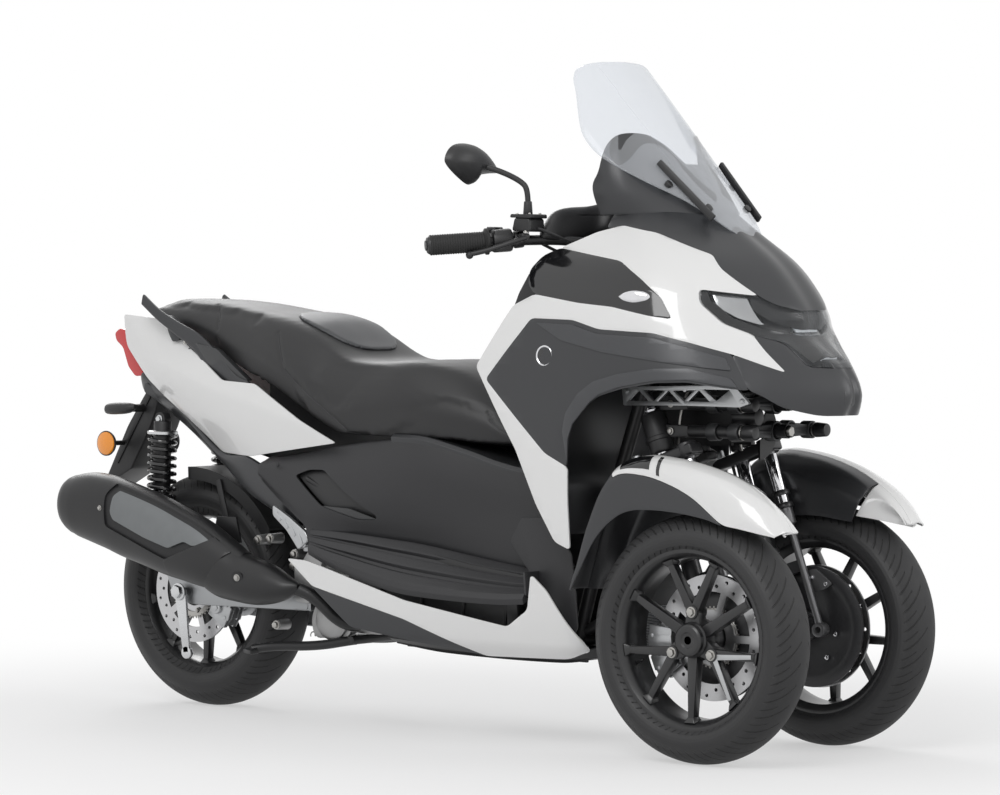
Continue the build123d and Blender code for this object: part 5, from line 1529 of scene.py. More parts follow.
def makeExhaust():
    centre = silencer["y"]
    can = ovalSkin("silencer", silencer["can"])
    cut(can, bar("tool", (-1040, centre, 477), (-952, centre, 475), silencer["outlet"], None, 40, 0))
    cut(can, slab("tool", silencer["pocket"], centre - 90, centre - 26, 7))
    soften(can, 1.6, 2, 30)
    lip = lathe("outletLip", [(0, 18), (0, 22), (3, 23), (6, 21), (6, 18)], (-1016, centre, 477), (1, 0, 0),
        (0, 0, 1), 40)
    shade(can, 32)
    done(join([can, lip], "silencer"), "chassis", "exhaust_black", exhaustBlack, "exhaust")
    # the black bed which the heat shield stands in
    bed = ovalSkin("shieldBed", silencer["can"], -5)
    cut(bed, slab("tool", silencer["pocket"], centre - 90, centre - 24, 6), how="INTERSECT")
    done(shade(bed, 32), "chassis", "black_gloss", bedBlack)
    plate = ovalSkin("heatShield", silencer["can"], 1.2)
    cut(plate, slab("tool", silencer["shield"], centre - 90, centre - 40, 6), how="INTERSECT")
    soften(plate, 1.4, 2, 30)
    done(shade(plate, 32), "chassis", "grey_satin", heatGrey)
    sleeve = ovalSkin("sleeve", silencer["can"], 3)
    cut(sleeve, slab("tool", silencer["sleeve"], centre - 90, centre - 30, 5), how="INTERSECT")
    soften(sleeve, 1.6, 2, 30)
    cover = ovalSkin("frontCover", silencer["cover"], 1.5)
    cut(cover, slab("tool", silencer["coverSide"], centre - 90, centre + 66, 5), how="INTERSECT")
    soften(cover, 2.2, 3, 30)
    parts = [shade(sleeve, 32), shade(cover, 32)]
    parts.append(tube("downPipe", [(-200, -101, 225), (-200, -150, 225), (-260, centre + 20, 300),
        (-330, centre, 314), (-400, centre, 320)], 15))
    parts.append(strut("canBracket", (-560, -146, 460), (-560, -146, 400), (0, 1, 0), (60, 90), (7, 7), 2))
    done(join(parts, "exhaustCover"), "chassis", "exhaust_black", exhaustBlack, "exhaust_guard")
    screws = [nut("screw", (-425, centre - 51.5, 330), (0.15, -1, -0.1), 12, 5)]
    screws.append(nut("screw", (-850, centre - 62.5, 474), (-0.03, -1, 0), 9, 4))
    seat = lathe("screwSeat", [(0, 7), (0, 15), (2, 15), (2, 7)], (-425, centre - 51, 330), (0.15, -1, -0.1),
        (0, 0, 1), 32)
    done(seat, "chassis", "exhaust_black", bedBlack)
    done(join(screws, "exhaustScrews"), "chassis", "bright_alloy", boltSteel)


bedBlack = plastic("bedBlack", (0.010, 0.010, 0.011), 0.55, (700, 0.2, 0.05))
heatGrey = metalOf("heatGrey", (0.20, 0.21, 0.215), 0.42, (500, 0.15, 0.04), 0.6)
makeExhaust()
print("exhaust done")

shock = {"top": (-800, 110, 680), "low": (-806, 110, 402), "turns": 8.5, "coil": 31, "wire": 5.2}


def makeShocks():
    dark, coils, bright = [], [], []
    for side in (1, -1):
        top, low = [Vector((x, side * y, z)) for x, y, z in (shock["top"], shock["low"])]
        run = low - top

        def at(share):
            return top + run * share

        bright.append(bar("shockRod", at(0.05), at(0.98), 7))
        dark.append(bar("shockBody", at(0.62), at(0.97), 19, 17, 32, 1.5))
        dark.append(bar("dustSleeve", at(0.02), at(0.60), 21, 21, 32, 1.5))
        for share in (0.10, 0.70):
            bright.append(lathe("springSeat", [(0, 8), (0, 33), (2, 36), (8, 36), (11, 30), (11, 8)],
                at(share), run.normalized(), (0, 1, 0), 40))
        for share in (0.0, 1.0):
            eye = lathe("shockEye", [(-11, 8), (-11, 16), (11, 16), (11, 8)], at(share), (0, 1, 0), (0, 0, 1),
                32, edge=1)
            dark.append(eye)
            bright.append(nut("shockBolt", at(share) + Vector((0, side * 11, 0)), (0, side, 0), 14, 7))
        points = []
        steps = int(shock["turns"] * 14)
        for k in range(steps + 1):
            share = 0.135 + 0.555 * k / steps
            turn = 2 * math.pi * shock["turns"] * k / steps
            points.append(tuple(at(share) + Vector((math.cos(turn), math.sin(turn), 0)) * shock["coil"]))
        coils.append(tube("spring", points, shock["wire"], sides=3))
    done(join(dark, "shockBodies"), "chassis", "black_plastic", blackPlastic, "rear_shocks")
    done(join(coils, "shockSprings"), "chassis", "spring_steel", glossBlack)
    done(join(bright, "shockMetal"), "chassis", "bright_alloy", brightAlloy)


makeShocks()
print("shocks done")

power = {
    "axle": (-730, 0, 276), "tyre": 276,
    "case": [(-300, 215), (-240, 300), (-300, 390), (-560, 400), (-822, 400), (-800, 276), (-760, 212),
        (-500, 190)],
    "innerCase": [(-330, 240), (-285, 300), (-330, 362), (-560, 372), (-700, 366), (-762, 300), (-740, 240),
        (-500, 216)],
    "arm": [(-340, 250), (-340, 300), (-690, 310), (-790, 400), (-822, 400), (-764, 262), (-700, 246)],
    "head": [(-312, 273), (-214, 269), (-205, 240), (-213, 195), (-318, 189), (-330, 230)],
}


def makePower():
    # drive case on the left: cover with a raised rim, cooling ribs and its screws
    dark = [slab("driveCase", power["case"], 92, 150, 30, 5, 3),
        slab("caseCover", power["innerCase"], 150, 160, 26, 4, 3)]
    steel = []
    for k in range(9):
        x = -350 - 46 * k
        dark.append(strut("caseRib", (x, 158, 250), (x - 26, 158, 350), (0, 1, 0), (5, 5), (10, 10), 1.5))
    for x, z in power["innerCase"]:
        steel.append(nut("caseScrew", (x * 0.99 - 5, 159, 302 + (z - 302) * 0.90), (0, 1, 0), 9, 5))
    dark.append(slab("swingArm", power["arm"], -112, -96, 12, 3, 2))
    dark.append(blockOf("armFoot", (-340, -112, 250), (-331, 94, 300), 2))
    dark.append(bar("rearHub", (-730, 70, 276), (-730, 92, 276), 60, 72, 48, 3))
    done(join(dark, "swingUnit"), "chassis", "cast_alloy", castAlloy, "swing_unit")
    # engine behind the floor: cylinder with fins, sump, clutch side cover and small fittings
    cast = [blockOf("crankCase", (-330, -92, 204), (-140, 88, 356), 10, 3),
        slab("sideHousing", power["head"], -112, -90, 16, 4, 3)]
    cast.append(lathe("pulleyCover", [(0, 0), (0, 46), (8, 46), (14, 38), (16, 20), (18, 0)],
        (-262, -112, 234), (0, -1, 0), (0, 0, 1), 48))
    cast.append(lathe("filterCap", [(0, 0), (0, 22), (14, 22), (18, 16), (18, 0)], (-226, -108, 292),
        (0, -1, 0), (0, 0, 1), 32, edge=1))
    for k in range(7):
        cast.append(blockOf("fin", (-138 + k * 19, -70, 236), (-130 + k * 19, 70, 356), 1.5))
    cast.append(blockOf("cylinder", (-140, -56, 248), (0, 56, 344), 6))
    cast.append(slab("topMount", [(-347, 300), (-322, 372), (-300, 398), (-276, 400), (-262, 372),
        (-280, 320), (-300, 290)], -150, -128, 8, 3))
    cast.append(slab("lowMount", [(-335, 364), (-300, 352), (-265, 315), (-288, 271), (-330, 276)], -168,
        -146, 8, 3))
    for x, z in ((-296, 250), (-232, 254), (-290, 206), (-234, 206)):
        steel.append(nut("housingBolt", (x, -112, z), (0, -1, 0), 10, 6))
    for x, z in ((-459, 410), (-423, 414), (-347, 382), (-350, 355), (-402, 217)):
        steel.append(nut("frameBolt", (x, -150, z), (0, -1, 0), 15, 9))
        cast.append(bar("bolster", (x, -112, z), (x, -150, z), 13, 11, 28, 1))
    done(join(cast, "engineCastings"), "chassis", "cast_alloy", engineAlloy, "engine")
    # torque arm, axle and brake line beside the rear disc
    bright = [strut("torqueArm", (-729, -124, 280), (-708, -124, 132), (0, 1, 0), (36, 20), (8, 8), 3)]
    bright.append(lathe("armEye", [(0, 0), (0, 15), (10, 15), (10, 0)], (-708, -118, 134), (0, -1, 0),
        (0, 0, 1), 32, edge=1.5))
    bright.append(bar("rearAxle", (-730, -134, 276), (-730, 94, 276), 9))
    bright.append(nut("axleNut", (-730, -128, 276), (0, -1, 0), 30, 14))
    done(join(bright, "torqueArm"), "chassis", "bright_alloy", brightAlloy)
    done(join(steel, "powerBolts"), "chassis", "bright_alloy", boltSteel)


engineAlloy = metalOf("engineAlloy", (0.42, 0.42, 0.42), 0.46, (260, 0.35, 0.12), 0.85)
makePower()


def makeHugger():
    x0, y0, z0 = power["axle"]
    low, top = power["tyre"] - 14, power["tyre"] + 12
    ring = [(92, low), (82, top), (-82, top), (-82, low), (-86, low), (-86, top + 4), (86, top + 4),
        (96, low)]
    guard = lathe("huggerGuard", ring, (x0, y0, z0), (0, 1, 0), (0, 0, 1), 160)
    tool = slab("tool", [(-730, 276), (-500, 330), (-470, 520), (-560, 660), (-745, 660)], -220, 220)
    cut(guard, tool, how="INTERSECT")
    soften(guard, 1.6, 2, 30)
    ribs = [strut("guardStay", (-640, -90, 540), (-560, -112, 330), (0, 1, 0), (16, 22), (5, 5), 1.5)]
    ribs.append(strut("guardStay", (-640, 90, 540), (-600, 100, 396), (0, 1, 0), (18, 26), (5, 5), 1.5))
    done(join([shade(guard, 35)] + ribs, "rearHugger"), "chassis", "black_plastic", blackPlastic,
        "rear_hugger")


makeHugger()
print("engine, drive and hugger done")

rearEnd = {
    # x, middle y, low and high z of the grab rail
    "rail": [(-480, 160, 764, 772), (-520, 158, 766, 786), (-594, 150, 778, 842), (-652, 146, 838, 880),
        (-720, 144, 879, 908), (-780, 143, 913, 936), (-833, 139, 948, 970)],
    "railPad": [(-652, 862), (-585, 848), (-484, 776), (-559, 775), (-588, 788)],
    "strip": [(-900, 66, 748, 76, 782), (-720, 106, 664, 124, 698), (-575, 140, 584, 152, 604),
        (-465, 168, 520, 176, 592), (-300, 184, 452, 190, 512)],
    "lamp": [(-1002, 880), (-985, 892), (-950, 884), (-930, 840), (-905, 780), (-934, 777), (-957, 800),
        (-975, 846), (-997, 862)],
    "arm": [(-900, 758), (-862, 745), (-880, 700), (-900, 655), (-960, 556), (-1106, 480), (-1108, 508),
        (-1042, 537),
            (-975, 657), (-940, 705)],
    # upright base for the number plate, and its two holes
    "plate": {"face": -1104.5, "half": 90, "low": 405, "high": 525, "wall": 7, "holeY": 70, "holeZ": 468,
        "hole": 3.5},
}


def makeTail():
    rails, pads, bolts = [], [], []
    for side in (1, -1):
        def ring(row):
            x, y, low, high = row
            points = [(y - 8, low), (y, low - 2), (y + 9, low + 2), (y + 8, (low + high) / 2), (y + 5, high),
                (y, high + 3), (y - 7, high - 1), (y - 9, (low + high) / 2), (y - 8, low)]
            return [(side * py, pz) for py, pz in points]
        rail = sectionSkin("grabRail", rearEnd["rail"], ring, 40, 50)
        rails.append(shade(rail, 45))
        pads.append(flank("railPad", rearEnd["railPad"], side, 140, 158, 6, 3, 2))
        rails.append(flank("railFoot", [(-770, 926), (-742, 908), (-716, 868), (-740, 862), (-752, 880)],
            side, 110, 140, 5, 2))
        rails.append(flank("railFoot", [(-690, 850), (-640, 850), (-618, 818), (-676, 826)], side, 116, 142,
            5, 2))
        bolts.append(nut("railBolt", (-690, side * 150, 862), (0, side, 0), 8, 4))
    done(join(rails, "grabRails"), "chassis", "grey_satin", darkSatin, "grab_rails")
    done(join(pads, "railPads"), "chassis", "grey_satin", shieldGrey)
    # dark strip under each tail panel, with its inner splash wall
    strips = []
    for side in (1, -1):
        def wall(row):
            x, lowY, lowZ, topY, topZ = row
            return [(side * (lowY - 14), lowZ + 2), (side * lowY, lowZ),
                (side * ((lowY + topY) / 2 + 3), (lowZ + topZ) / 2), (side * topY, topZ),
                (side * (topY - 10), topZ + 5)]
        strip = sectionSkin("underStrip", rearEnd["strip"], wall, 20, 50, closed=False)
        thickened(strip, 3.5, (0, side, 0))
        soften(strip, 1.2, 2, 40)
        strips.append(shade(strip, 40))
    strips.append(blockOf("underTray", (-895, -78, 768), (-835, 78, 775), 2))
    strips.append(slab("wheelWell", [(-880, 742), (-700, 664), (-560, 616), (-440, 588), (-440, 598),
        (-560, 630), (-700, 682), (-876, 766)], -92, 92, 8, 2))
    done(join(strips, "tailUnderside"), "chassis", "black_plastic", darkSatin, "tail_underside")
    # lamp: red lens with a stepped rim and two reflectors behind it
    lens = slab("tailLens", rearEnd["lamp"], -66, 66, 6, 3, 3)
    done(lens, "chassis", "red_lens", redGlow, "tail_lamp")
    ribs = [slab("lampBar", [(-994, 868), (-988, 868), (-952, 800), (-958, 800)], y - 1.5, y + 1.5, 0, 0.5)
        for y in (-44, -22, 0, 22, 44)]
    done(join(ribs, "tailLampBars"), "chassis", "black_gloss", glossBlack)
    holder = [slab("holderArm", rearEnd["arm"], -50, 50, 7, 4, 3)]
    # plate base with its lip, ribs, reflectors and screw inserts
    base = rearEnd["plate"]
    half, holeZ = base["half"], base["holeZ"]
    plate = loopOf("plateBase", [(-half, base["low"]), (half, base["low"]), (half, base["high"]),
        (-half, base["high"])],
                   lambda y, z: Vector((base["face"], y, z)) * mm)
    roundCorners(plate, 8)
    push(plate, (-base["wall"] * mm, 0, 0))
    for y in (-base["holeY"], base["holeY"]):
        cut(plate, bar("tool", (-1125, y, holeZ), (-1090, y, holeZ), base["hole"], None, 24, 0))
        bolts.append(lathe("plateInsert", [(0, 3.6), (0, 6), (1.5, 6), (1.5, 3.6)], (-1113, y, holeZ),
            (1, 0, 0), (0, 0, 1), 24))
    soften(plate, 1, 2)
    holder.append(shade(plate))
    holder += [strut("plateRib", (-1102, y, 410), (-1102, y, 520), (1, 0, 0), (8, 8), (7, 7), 2)
        for y in (-54, -18, 18, 54)]
    holder.append(blockOf("plateLip", (-1126.5, -45, 405.5), (-1110, 45, 424.5), 3, 3))
    # these reflectors take the glowing red lens finish: painted glow, as they are no lamps
    reds = [lathe("lowReflector", [(0, 0), (0, 8), (1.5, 8), (1.5, 0)], (-1110, y, 490), (-1, 0, 0),
        (0, 1, 0), 32) for y in (-30, 30)]
    done(join(reds, "lowReflectors"), "chassis", "red_lens", redGlow)
    holder += [strut("holderRib", (-900, side * 50, 735), (-1010, side * 50, 570), (0, 1, 0), (14, 14),
        (6, 6), 1.5) for side in (1, -1)]
    ambers, clears = [], []
    for side in (1, -1):
        holder.append(bar("stalk", (-920, side * 40, 702), (-926, side * 140, 702), 10, 8))
        body = sectionSkin("indicatorBody", [(-950, 148, 700, 5, 6), (-940, 150, 701, 13, 12),
            (-905, 152, 703, 17, 14), (-868, 152, 705, 14, 12), (-850, 151, 708, 6, 6)],
                           lambda row: [(side * (row[1] + row[3] * math.cos(t * math.pi / 6)),
                               row[2] + row[4] * math.sin(t * math.pi / 6)) for t in range(13)], 28, 24)
        holder.append(shade(body))
        holder.append(bar("reflectorStalk", (-985, side * 48, 617), (-985, side * 106, 617), 6))
        holder.append(lathe("reflectorCup", [(0, 0), (0, 27), (5, 30), (8, 30), (8, 0)],
            (-985, side * 104, 617), (0, side, 0), (0, 0, 1), 48))
        ambers.append(lathe("reflector", [(0, 0), (0, 27.5), (2, 27), (4, 24), (5, 0)],
            (-985, side * 111.8, 617), (0, side, 0), (0, 0, 1), 48))
    done(join(holder, "plateHolder"), "chassis", "black_plastic", blackPlastic, "plate_holder")
    # the reflectors glow: painted light, as they are no lamps
    done(join(ambers, "reflectors"), "chassis", "lamp_lens", amberPaintedGlow)
    lightBox = blockOf("plateLight", (-1100, -34, 524), (-1058, 34, 536), 4)
    done(lightBox, "chassis", "black_plastic", blackPlastic)
    done(join(bolts, "tailBolts"), "chassis", "bright_alloy", boltSteel)


makeTail()
print("tail end done")

steering = {"foot": (840.84, 253.2), "lean": 20, "legs": 146, "ahead": 62, "behind": -11, "tie": -70,
    "axle": (865, 262), "dish": 131}


def onFork(y, s, h):
    # a place by its distance ahead of the steering axis and its height along it
    c, n = math.cos(math.radians(steering["lean"])), math.sin(math.radians(steering["lean"]))
    return Vector((steering["foot"][0] - n * h + c * s, y, steering["foot"][1] + c * h + n * s))


def makeFork(name, side, node):
    y = side * steering["legs"]
    ahead, behind, tie = steering["ahead"], steering["behind"], steering["tie"]
    axis = onFork(0, 0, 1) - onFork(0, 0, 0)
    x, z = steering["axle"]
    dark, grey, shiny = [], [], []
    dark.append(bar("rearSlider", onFork(y, behind, -25), onFork(y, behind, 290), 19, 19, 40, 2))
    dark.append(bar("sliderRib", onFork(y, behind, 20), onFork(y, behind, 26), 22, 22, 40, 1))
    for s in (ahead, behind):
        shiny.append(bar("stanchion", onFork(y, s, 262 if s == ahead else 288), onFork(y, s, 388), 13.5, 13.5,
            40, 0.5))
        for h in (258, 286):
            dark.append(bar("sealCap", onFork(y, s, h), onFork(y, s, h + 12), 20, 18, 40, 2))
    grey.append(bar("frontRod", onFork(y, ahead, -6), onFork(y, ahead, 262), 8.5, 8.5, 28, 1))
    grey.append(bar("rodCollar", onFork(y, ahead, 222), onFork(y, ahead, 262), 15, 15, 32, 2))
    grey.append(lathe("rodEye", [(-12, 7), (-12, 16), (12, 16), (12, 7)], onFork(y, ahead, -16), (0, 1, 0),
        (0, 0, 1), 32, edge=1.5))
    # bridge clamps round both tubes, the kingpin above and the tie rod's arm behind
    bridge = [onFork(0, s, h) for s, h in ((ahead + 24, 386), (ahead + 24, 411), (tie + 6, 411),
        (tie - 10, 405), (tie - 10, 390), (behind - 30, 386))]
    dark.append(slab("bridge", [(p.x, p.z) for p in bridge], y - 21, y + 21, 5, 4, 3))
    dark.append(bar("bridgeBoss", onFork(y, ahead, 383), onFork(y, ahead, 416), 22, 22, 36, 2))
    shiny.append(bar("kingpin", onFork(y, 0, 410), onFork(y, 0, 510), 15.8, 14, 36, 1))
    shiny.append(nut("kingpinNut", onFork(y, 0, 508), axis, 26, 8))
    dark.append(strut("lowerBridge", onFork(y, behind, 130), onFork(y, ahead, 130), (0, 1, 0), (30, 26),
        (18, 16), 4))
    # axle carrier: a cast lug on the rear slider, its pinch bolt, and the axle
    lug = [(772, 250), (790, 300), (832, 302), (880, 292), (892, 262), (876, 236), (832, 226), (780, 206)]
    dark.append(flank("axleLug", lug, side, steering["legs"] + 12, steering["legs"] + 26, 14, 4, 3))
    dark.append(bar("axleBoss", (x, side * 148, z), (x, side * 182, z), 24, 21, 40, 2))
    shiny.append(bar("axle", (x, side * 138, z), (x, side * 283, z), 9.8, 9.8, 28, 1))
    shiny.append(nut("axleEnd", (x, side * 140, z), (0, -side, 0), 24, 12))
    grey.append(nut("pinchBolt", (846, side * 173, 238), (0, side, 0), 10, 5))
    # dished dust shield inside the brake disc, with a rolled rim and a bolted ear
    dish = [(0, 20), (0, 92), (-7, 104), (-7, 119), (-2, steering["dish"]), (3, steering["dish"]),
        (3, steering["dish"] - 5), (-3, 119), (-3, 106), (4, 92), (4, 20)]
    dark.append(lathe("dustShield", [(side * a, r) for a, r in dish], (x, side * 173, z), (0, 1, 0),
        (0, 0, 1), 96))
    ear = [(x + dx, z + dz) for dx, dz in ((-22, 118), (18, 128), (60, 96), (42, 84), (6, 72), (-8, 92))]
    grey.append(flank("shieldEar", ear, side, 158, 164, 7, 1.5, 2))
    for dx, dz in ((8, 108), (-2, 82), (44, 96), (62, -12), (40, -64)):
        shiny.append(nut("shieldBolt", (x + dx, side * (158 if dz > 70 else 170), z + dz), (0, -side, 0), 8,
            5))
    # brake hose and sensor lead, clipped to the slider
    hose = [onFork(y - side * 8, -34, 400), onFork(y - side * 8, -38, 330), onFork(y - side * 4, -36, 240),
        onFork(y, -34, 120), onFork(y + side * 14, -52, 60), onFork(y + side * 30, -70, 20)]
    dark.append(tube("brakeHose", [tuple(p) for p in hose], 3.6, sides=3))
    dark.append(tube("sensorLead", [tuple(p + Vector((8, side * 5, 0))) for p in hose[:4]], 2.2, sides=2))
    for h in (300, 180):
        grey.append(lathe("hoseClip", [(-5, 19), (-5, 21.5), (5, 21.5), (5, 19)], onFork(y, behind, h), axis,
            (0, 1, 0), 36))
    done(join(dark, name + "Dark"), node, "fork_metal", forkPaint, node)
    done(join(grey, name + "Rod"), node, "fork_metal", rodGrey)
    done(join(shiny, name + "Chrome"), node, "bright_alloy", chromed)


rodGrey = metalOf("rodGrey", (0.20, 0.20, 0.205), 0.42, (400, 0.15, 0.04), 0.8)
makeFork("forkLeft", 1, "fork_left")
makeFork("forkRight", -1, "fork_right")
print("forks done")

bars = {
    "end": (250, 400, 1082), "knee": (392, 222, 1098), "mid": (480, 120, 1092), "clamp": (520, 60, 1070),
    "mirror": [(226, 1240), (252, 1266), (282, 1287), (320, 1300), (362, 1300), (388, 1290), (403, 1270),
        (398, 1254), (360, 1228), (322, 1213), (296, 1232), (262, 1238)],
    "hood": [(368, 60, 1120, 40, 1144), (384, 150, 1106, 110, 1150), (404, 200, 1098, 150, 1158),
        (430, 210, 1096, 160, 1165),
             (452, 160, 1096, 116, 1168), (474, 98, 1112, 70, 1176), (500, 76, 1120, 50, 1174),
             (510, 56, 1130, 34, 1162)],
}


def podOf(name, outline, place, depth, power=2.6, sides=64):
    # a closed shape whose rim follows an outline and whose front swells out; its back stays nearly flat
    count = len(outline)
    middle = (sum(p[0] for p in outline) / count, sum(p[1] for p in outline) / count)
    ring = outline + [outline[0]]
    steps = [k / count for k in range(count + 1)]

    def at(u, v):
        a = through([p[0] for p in ring], steps, u)
        b = through([p[1] for p in ring], steps, u)
        reach = v * 2 if v < 0.5 else 2 - v * 2
        lift = depth * (1 - reach ** power) ** 0.6 if v < 0.5 else -5 * (1 - reach ** 8)
        return place(middle[0] + (a - middle[0]) * reach, middle[1] + (b - middle[1]) * reach, lift)

    pod = sheetFrom(name, at, sides, 32)
    return shade(outward(pod), 50)


def makeBars():
    x0, y0, z0 = bars["end"]
    tubes, grips, dark, shiny, mirrors, glasses = [], [], [], [], [], []
    path = [bars["end"], bars["knee"], bars["mid"], bars["clamp"]]
    path = [(x, -y, z) for x, y, z in path] + [(x, y, z) for x, y, z in path[::-1]]
    tubes.append(tube("barTube", path, 11, sides=6))
    tubes.append(bar("barClamp", (520, -32, 1070), (520, 32, 1070), 13, 13, 32, 1))
    axis = onFork(0, 0, 1) - onFork(0, 0, 0)
    tubes.append(bar("steeringStem", onFork(0, 0, 392), onFork(0, 0, 878), 14, 14, 40, 1))
    tubes.append(slab("stemArm", [(p.x, p.z) for p in [onFork(0, s, h)
        for s, h in ((18, 391), (18, 411), (-80, 411), (-80, 391))]], -18, 18, 5, 4, 3))
    tubes.append(bar("stemPin", onFork(0, steering["tie"], 411), onFork(0, steering["tie"], 433), 5, 5, 20,
        0.5))
    tubes.append(bar("topNut", onFork(0, 0, 868), onFork(0, 0, 884), 24, 22, 8, 2))
    tubes.append(slab("barRiser", [(500, 1058), (552, 1058), (556, 1074), (534, 1086), (506, 1086)], -44, 44,
        8, 3, 3))
    for side in (1, -1):
        end, knee = Vector((x0, side * y0, z0)), Vector((392, side * 222, 1098))
        run = (knee - end).normalized()
        profile = [(0, 11)]
        for k in range(22):
            profile += [(2 + k * 5.4, 16.4), (4.4 + k * 5.4, 17.2), (5.6 + k * 5.4, 16.4)]
        profile += [(121, 18), (124, 22), (129, 22), (131, 19), (131, 11)]
        grips.append(lathe("grip", profile, end + run * 8, run, run.orthogonal(), 40))
        dark.append(lathe("barEnd", [(2, 0), (2, 8), (4, 13), (8, 15), (10, 15), (12, 10), (12, 0)], end, run,
            run.orthogonal(), 36))
        # switch box in two halves, with its buttons and the lever's perch
        box = end + run * 168
        back = run.orthogonal()
        dark.append(bar("switchBox", end + run * 146, end + run * 190, 25, 25, 28, 5))
        dark.append(strut("switchBody", end + run * 148, end + run * 188, (0, 0, 1), (44, 42), (48, 46), 5))
        dark.append(strut("switchNose", box + Vector((-8, 0, 20)), box + Vector((-34, 0, 24)), (0, 0, 1),
            (30, 24), (18, 12), 3))
        for k, (lift, wide) in enumerate(((13, 13), (-2, 16), (-15, 10))):
            shiny.append(strut("switch", box + Vector((-24, 0, lift)), box + Vector((-31, 0, lift)),
                (0, 0, 1), (wide, wide), (8, 6), 1.5))
        dark.append(bar("perch", end + run * 194, end + run * 216, 19, 18, 28, 3))
        dark.append(strut("perchArm", end + run * 206, Vector((416, side * 262, 1104)), (0, 0, 1), (24, 18),
            (14, 12), 3))
        dark.append(flank("brakeTank", [(378, 1114), (430, 1112), (428, 1142), (386, 1144)], side, 214, 266,
            7, 4, 3))
        dark.append(flank("tankLid", [(376, 1143), (434, 1141), (433, 1150), (378, 1151)], side, 211, 269, 3,
            2, 2))
        for x, y in ((388, 222), (422, 222), (388, 258), (422, 258)):
            shiny.append(bar("lidScrew", (x, side * y, 1149), (x, side * y, 1153), 3.2, 3, 16, 0.5))
        blade = [(414, side * 262, 1102), (402, side * 284, 1094), (370, side * 308, 1078),
            (344, side * 326, 1067), (324, side * 337, 1062)]
        lever = tube("lever", blade, 6.4, sides=5)
        for vertex in lever.data.vertices:
            vertex.co.z = 1.078 + (vertex.co.z - 1.078) * 0.86
        dark.append(lever)
        bpy.ops.mesh.primitive_uv_sphere_add(segments=24, ring_count=14, radius=8.5 * mm,
            location=Vector((322, side * 338, 1062)) * mm)
        ball = bpy.context.object
        only(ball)
        bpy.ops.object.transform_apply(location=True, rotation=True, scale=True)
        dark.append(shade(ball, 60))
        shiny.append(nut("leverPivot", (416, side * 262, 1110), (0, 0, 1), 10, 5))
        # mirror: threaded foot, bent stem, swelling back and glass
        mirrors.append(bar("mirrorFoot", (408, side * 246, 1148), (408, side * 246, 1178), 11, 9, 6, 1.5))
        mirrors.append(tube("mirrorStem", [(408, side * 246, 1170), (408, side * 246, 1204),
            (392, side * 252, 1222), (356, side * 280, 1244), (322, side * 304, 1256)], 6.2, sides=5))
        mirrors.append(podOf("mirrorBack", bars["mirror"], lambda y, z, lift: (306 + lift, side * y, z), 34))
        glass = loopOf("mirrorGlass", [(330 + (y - 330) * 0.88, 1262 + (z - 1262) * 0.84)
            for y, z in bars["mirror"]], lambda y, z: Vector((301.5, side * y, z)) * mm)
        push(glass, (-1.5 * mm, 0, 0))
        soften(glass, 0.5, 2)
        glasses.append(shade(glass))
        # throttle cable or switch lead, and the brake hose, both down into the head
        dark.append(tube("lead", [(408, side * 205, 1090), (430, side * 150, 1062), (480, side * 80, 1040),
            (520, side * 30, 1010), (532, side * 18, 985)], 3.4, sides=3))
        dark.append(tube("lead", [(428, side * 236, 1120), (462, side * 190, 1100), (500, side * 92, 1050),
            (528, side * 36, 1000), (536, side * 22, 985)], 3.0, sides=3))
    done(join(tubes, "barTubes"), "handlebar", "frame_black", framePaint, "handlebar")
    done(join(grips, "barGrips"), "handlebar", "grip_rubber", gripRubber, "grips")
    done(join(dark, "barControls"), "handlebar", "black_plastic", blackPlastic, "hand_controls")
    done(join(shiny, "barBright"), "handlebar", "bright_alloy", boltSteel)
    done(join(mirrors, "mirrors"), "handlebar", "black_plastic", blackPlastic, "mirrors")
    done(join(glasses, "mirrorGlass"), "handlebar", "bright_alloy", mirrorFace)
    hood = sectionSkin("barHood", bars["hood"], lambda row: [(0, row[2] - 4), (row[1] * 0.8, row[2] - 3),
        (row[1], row[2] + 8), ((row[1] + row[3]) / 2 + 6, (row[2] + row[4]) / 2 + 6),
                       (row[3], row[4] - 3), (row[3] * 0.5, row[4] + 3), (0, row[4] + 5),
                       (-row[3] * 0.5, row[4] + 3), (-row[3], row[4] - 3),
                       (-(row[1] + row[3]) / 2 - 6, (row[2] + row[4]) / 2 + 6), (-row[1], row[2] + 8),
                       (-row[1] * 0.8, row[2] - 3), (0, row[2] - 4)], 60, 40)
    seam = slab("tool", [(340, 1147), (520, 1152), (520, 1150.4), (340, 1145.4)], -130, 130)
    core = twin(hood)
    moved(core, Matrix.Translation((0.433, 0, 1.152)) @ Matrix.Diagonal((0.96, 0.96, 0.96,
        1)) @ Matrix.Translation((-0.433, 0, -1.152)))
    cut(hood, seam)
    soften(hood, 1.0, 2, 40)
    done(join([shade(hood, 45), core], "barHood"), "handlebar", "black_plastic", blackPlastic, "bar_cover")


mirrorFace = metalOf("mirrorFace", (0.72, 0.74, 0.76), 0.06, (40, 0.02, 0.02))
makeBars()
print("handlebar done")


def makeTie():
    y, s = steering["legs"], steering["tie"]
    rod = strut("tieRod", onFork(-y, s, 423), onFork(y, s, 423), onFork(0, 0, 1) - onFork(0, 0, 0), (12, 12),
        (13, 13), 3)
    parts = [rod]
    for end in (-y, 0, y):
        ring = lathe("tieEye", [(416, 5.6), (416, 13), (430, 13), (430, 5.6)], onFork(end, s, 0),
            onFork(0, 0, 1) - onFork(0, 0, 0), (0, 1, 0), 32, edge=1)
        cut(rod, bar("tool", onFork(end, s, 400), onFork(end, s, 450), 6, 6, 32, 0))
        parts.append(ring)
    done(join(parts, "tieRods"), "tie_rods", "frame_black", castAlloy, "tie_rods")


makeTie()

